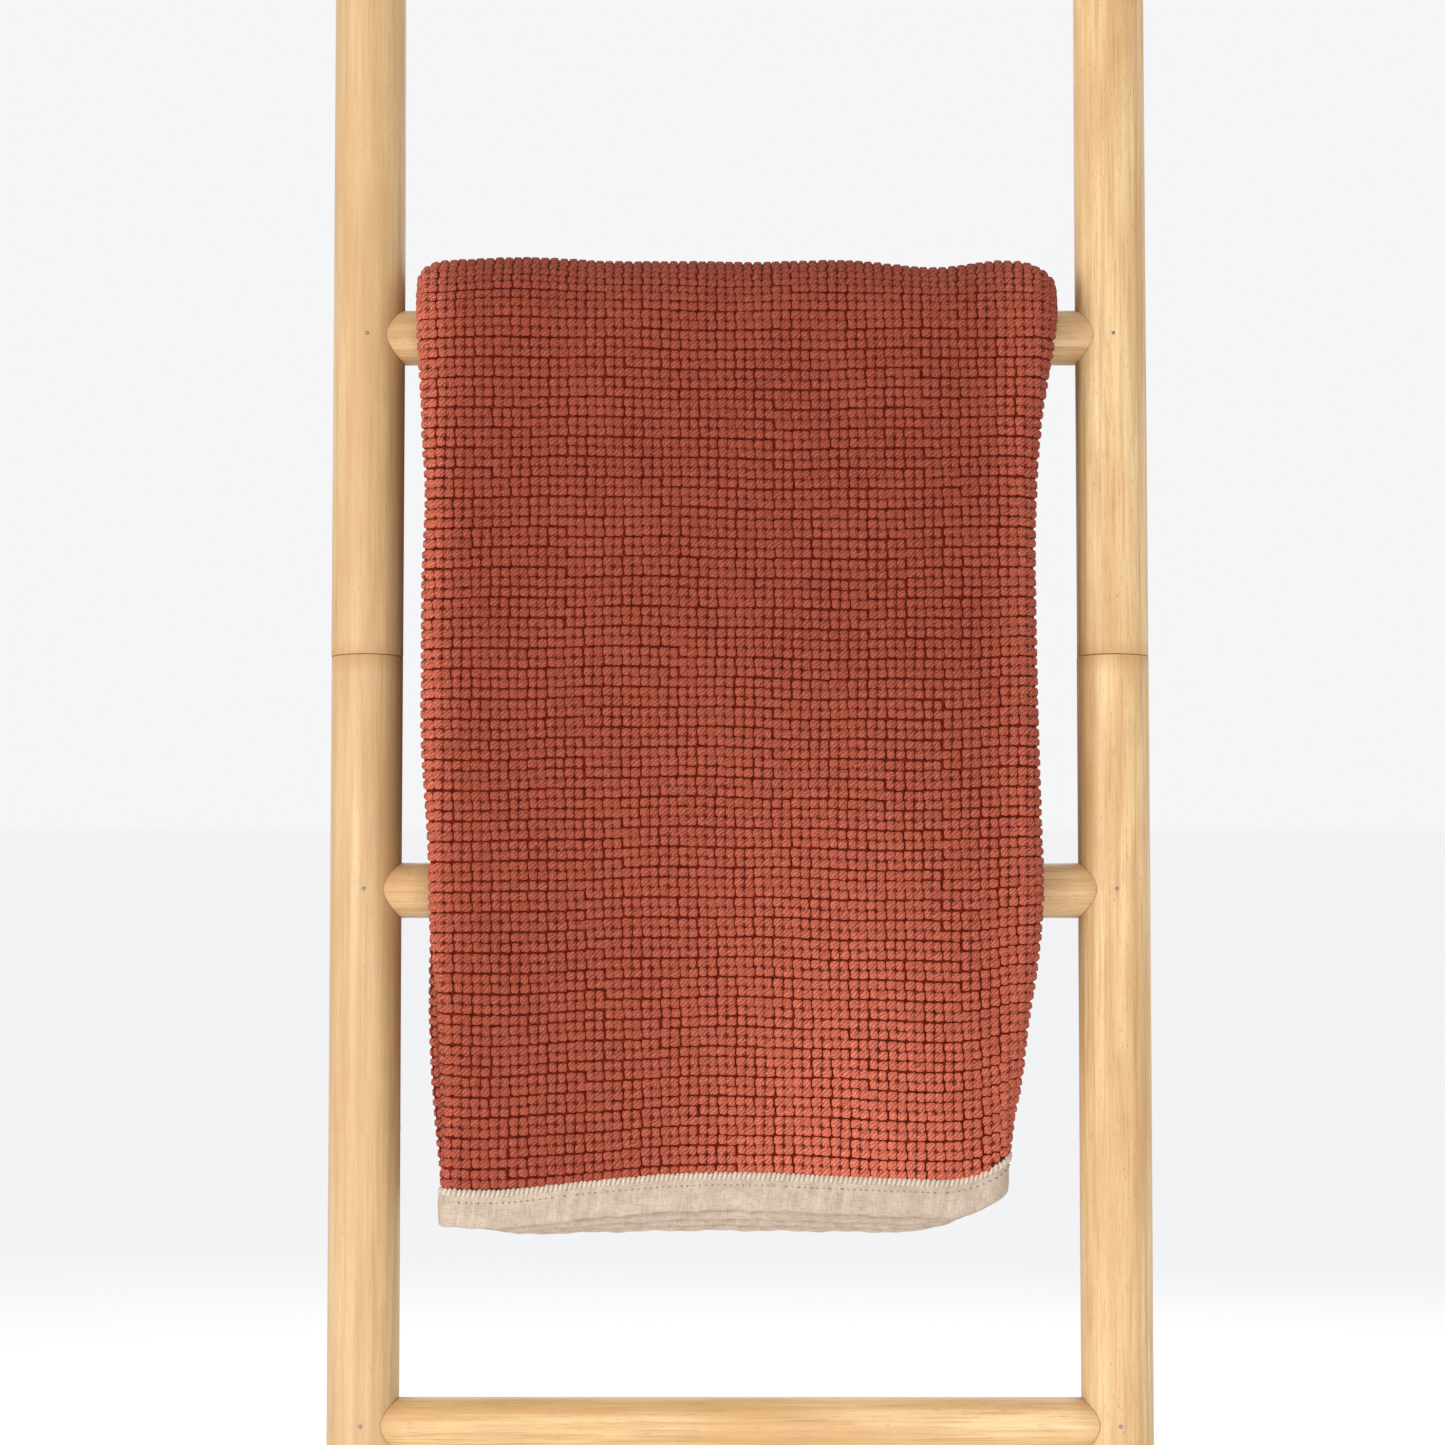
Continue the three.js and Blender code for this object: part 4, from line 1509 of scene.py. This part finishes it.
@dataclass
class Binding:
    """The linen binding folded over one end of the sheet, with its stitches."""

    folding: Folding
    part: Part
    height: float = 23.5 * MM
    thickness: float = 5.9 * MM
    pucker: float = 0.60 * MM
    pucker_pitch: float = 7.4 * MM
    face: tuple[float, ...] = (0.06, 0.16, 0.28, 0.40, 0.52, 0.64, 0.76, 0.88, 0.97)
    hem: Table = ((0.012, 0.62), (0.0, 0.0), (0.012, -0.62))
    uneven: Table = ((0.35 * MM, 160, 0, 0), (0.25 * MM, 410, 0, 2))

    def _length(self, x: Array, depth: Array, up: "float | Array") -> Array:
        """The length along the throw of places at some heights above the sheet's end."""
        front, back = self.folding.ends(x, depth)
        return front + up if self.part is Part.FRONT else back - up

    def _edges(self, inwards: float) -> list[float]:
        """The folded throw's left, right and loose edges at a distance from this end."""
        nominal = inwards if self.part is Part.FRONT else self.folding.hang.total - inwards
        return [float(edge) for edge in self.folding.edges(nominal)]

    def _puckers(self, steps: Array, up: float) -> Array:
        """The puckers at some distances along the binding and one height: about -1.5 to 1.5."""
        slant, whole = steps - 0.18 * up, 2 * math.pi / self.pucker_pitch
        gather = 0.15 + 0.85 * np.sin(steps * 37 + 1.2 * np.sin(steps * 19) + 1) ** 4
        wave = gather * np.sin(slant * whole + 2.6 * np.sin(steps * 46))
        return wave + 0.5 * np.sin(slant * 2 * whole + 3 * np.sin(steps * 61))

    def build(self, material: bpy.types.Material) -> bpy.types.Object:
        """Makes the binding in linen."""
        left, right, loose = self._edges(10 * MM)
        track, normal = self.folding.section(left - 0.5 * MM, right, loose, fine=5)
        steps = np.append(0, np.cumsum(np.linalg.norm(np.diff(track, axis=0), axis=1)))
        loop = [(1.0, 0.55), *((share, 1.0) for share in reversed(self.face)), *self.hem]
        loop += [*((share, -1.0) for share in self.face), (1.0, -0.55)]
        rows, cloth, crease = [], [], []
        for share, offset in loop:
            up, face = share * self.height, math.copysign(1, offset)
            puckers = self._puckers(steps, up)
            envelope = math.sin(math.pi * share) ** 0.6 if 0 < share < 1 else 0.0
            rise = self.pucker * envelope * (1.0 + 0.65 * puckers) * (offset != 0)
            out = self.thickness / 2 * offset + face * rise
            x, depth = (track + normal * out[:, None]).T
            length = self._length(*track.T, up + ripples(self.uneven, steps, 0.0) * (1 - share))
            rows.append(self.folding.place(x, depth, length))
            # Painted shade: darker in the puckers' hollows, along the binding's upper edges and at its folded lower
            # edge
            crease.append(np.clip(0.5 - 0.5 * puckers, 0, 1) * envelope + (0.5 if share in (0.0, 1.0) else 0.0))
            cloth.append(np.stack([steps, np.full_like(steps, up * face), np.zeros_like(steps)], axis=1))
        count, columns = len(loop), len(steps)
        faces = strip_faces(columns, count, loop=True)
        faces += [tuple(range(count)), tuple((columns - 1) * count + k for k in reversed(range(count)))]
        points, spots = (np.stack(part, axis=1).reshape(-1, 3) for part in (rows, cloth))  # loop after loop
        marks = {"cloth": spots, "crease": np.clip(np.stack(crease, axis=1).ravel(), 0, 1)}
        return mesh_object(f"binding_{self.part.value}", points, faces, material, marks, outward=True)

    def stitches(self, row: Row, material: bpy.types.Material) -> bpy.types.Object:
        """Makes one row of stitches.

        Args:
            row: Which of the two.
            material: Thread.
        Returns:
            The object.
        """
        stitch, folding = row.value, self.folding
        left, right, _ = self._edges(25 * MM)
        x, depth, out_x, out_n = folding.outer(np.arange(left - 4 * MM, right + 12 * MM, stitch.pitch), left, right)
        length = self._length(x, depth, self.height - stitch.below)
        proud = self.thickness / 2 + self.pucker * 0.9
        places = folding.place(x + out_x * proud, depth + out_n * proud, length)
        way = 1.0 if self.part is Part.FRONT else -1.0
        turns = []
        for normal, onward in folding.hang.bearings(out_x, out_n, length):
            aside = (onward * way).cross(normal).normalized()
            turns.append(aimed((onward * way + aside * stitch.slant).normalized(), normal))
        points = (places, np.array(turns), np.tile(stitch.size, (len(turns), 1)))
        pattern = cushion_pattern("stitch_pattern", sink=0.5, square=2.6)
        name = f"binding_{row.name.lower()}_stitches_{self.part.value}"
        return Repeat("stitches", seed=7, turn_jitter=0.10, size_jitter=0.09).grow(name, points, pattern, material)


@dataclass
class Throw:
    """The folded throw: its sheet, raised yarns, bindings and stitches."""

    layout: LadderLayout
    flat: tuple[float, float] = (1.5, 1.2)

    def build(self) -> None:
        """Makes and places every piece of the throw."""
        folding = Folding(Hang(self.layout))
        cloth = Cloth(folding).build(GroundFinish().build())
        rides(cloth, "quilt", ["quilt_cloth"])
        others = [rides(piece, "quilt") for piece in Weave(folding).build(YarnFinish().build())]
        linen = LinenFinish().build()
        threads = {
            Row.WHIP: ThreadFinish().build(),
            # The seam stitches are a darker copy of the same thread: painted shade of the needle holes that they sit
            # in
            Row.SEAM: ThreadFinish("seam_thread", pale=(0.30, 0.215, 0.150), shade=(0.17, 0.115, 0.075)).build(),
        }
        for part in (Part.FRONT, Part.BACK):
            binding = Binding(folding, part)
            others.append(rides(binding.build(linen), "quilt", [f"quilt_binding_{part.value}"]))
            others += [rides(binding.stitches(row, thread), "quilt") for row, thread in threads.items()]


# ---- The studio ----------------------------------------------------------------------------------


@dataclass(frozen=True)
class Softbox:
    """A rectangular lamp: where it is, what it points at, its size, power and colour."""

    name: str
    place: tuple[float, float, float]
    target: tuple[float, float, float]
    size: tuple[float, float]
    power: float
    colour: Colour = (1.0, 1.0, 1.0)

    def build(self) -> None:
        """Makes the lamp."""
        lamp = bpy.data.lights.new(self.name, "AREA")
        lamp.shape, lamp.size, lamp.size_y = "RECTANGLE", *self.size
        lamp.energy, lamp.color = self.power, self.colour
        made = bpy.data.objects.new(self.name, lamp)
        made.location = self.place
        made.rotation_euler = (Vector(self.target) - Vector(self.place)).to_track_quat("-Z", "Y").to_euler()
        bpy.context.scene.collection.objects.link(made)


@dataclass
class Studio:
    """A pale floor, a pale surround, soft lamps and the camera."""

    floor_size: float = 60.0
    surround: Colour = (0.985, 0.99, 1.0)
    surround_strength: float = 0.93
    lens: float = 126.2
    camera_place: tuple[float, float, float] = (-0.0107, -3.1, 0.7072)
    lamps: tuple[Softbox, ...] = (
        Softbox("key", (-1.55, -1.85, 0.80), (0.0, 0.0, 0.70), (1.0, 1.2), 30.0, (1.0, 0.985, 0.96)),
        Softbox("fill", (0.35, -2.2, 0.30), (0.05, 0.0, 0.50), (0.7, 0.4), 12.0, (1.0, 0.99, 0.98)),
        Softbox("back", (0.4, 2.6, 1.9), (0.0, 0.0, 0.7), (1.8, 1.2), 14.0),
    )

    def build(self) -> None:
        """Makes the floor, the surround, the lamps and the camera."""
        half = self.floor_size / 2
        corners = np.array([(-half, -half, 0), (half, -half, 0), (half, half, 0), (-half, half, 0)])
        floor = mesh_object("floor", corners, [(0, 1, 2, 3)], FloorFinish().build())
        floor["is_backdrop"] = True
        scene = bpy.context.scene
        world = scene.world or bpy.data.worlds.new("surround")
        scene.world = world
        world.use_nodes = True
        sky = next(node for node in world.node_tree.nodes if node.type == "BACKGROUND")
        sky.inputs["Color"].default_value = (*self.surround, 1.0)
        sky.inputs["Strength"].default_value = self.surround_strength
        for lamp in self.lamps:
            lamp.build()
        scene.view_settings.view_transform = "Standard"
        camera = bpy.data.cameras.new("camera")
        camera.lens, camera.sensor_width = self.lens, 36.0
        camera.clip_start, camera.clip_end = 0.05, 200.0
        made = bpy.data.objects.new("camera", camera)
        made.location, made.rotation_euler = self.camera_place, (math.pi / 2, 0, 0)
        scene.collection.objects.link(made)
        scene.camera = made


def keep_sizes() -> None:
    """Writes the CAD box and the visual model's box."""
    boxes = {"cad": CAD_BOX, "visual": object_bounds()}
    plain = {key: [list(map(float, corner)) for corner in box] for key, box in boxes.items()}
    log.info("size %s", plain)


def main() -> None:
    """Builds the studio, the rack and the throw."""
    logging.basicConfig(level=logging.INFO, format="%(name)s %(message)s")
    layout = LadderLayout()
    log.info("lean %.3f deg, seam %.4f, top %.4f", math.degrees(layout.lean), layout.seam, layout.top)
    Studio().build()
    Ladder(layout).build(BambooFinish().build(), SteelFinish().build(), BeechFinish().build())
    Throw(layout).build()
    keep_sizes()


if __name__ == "__main__":
    main()
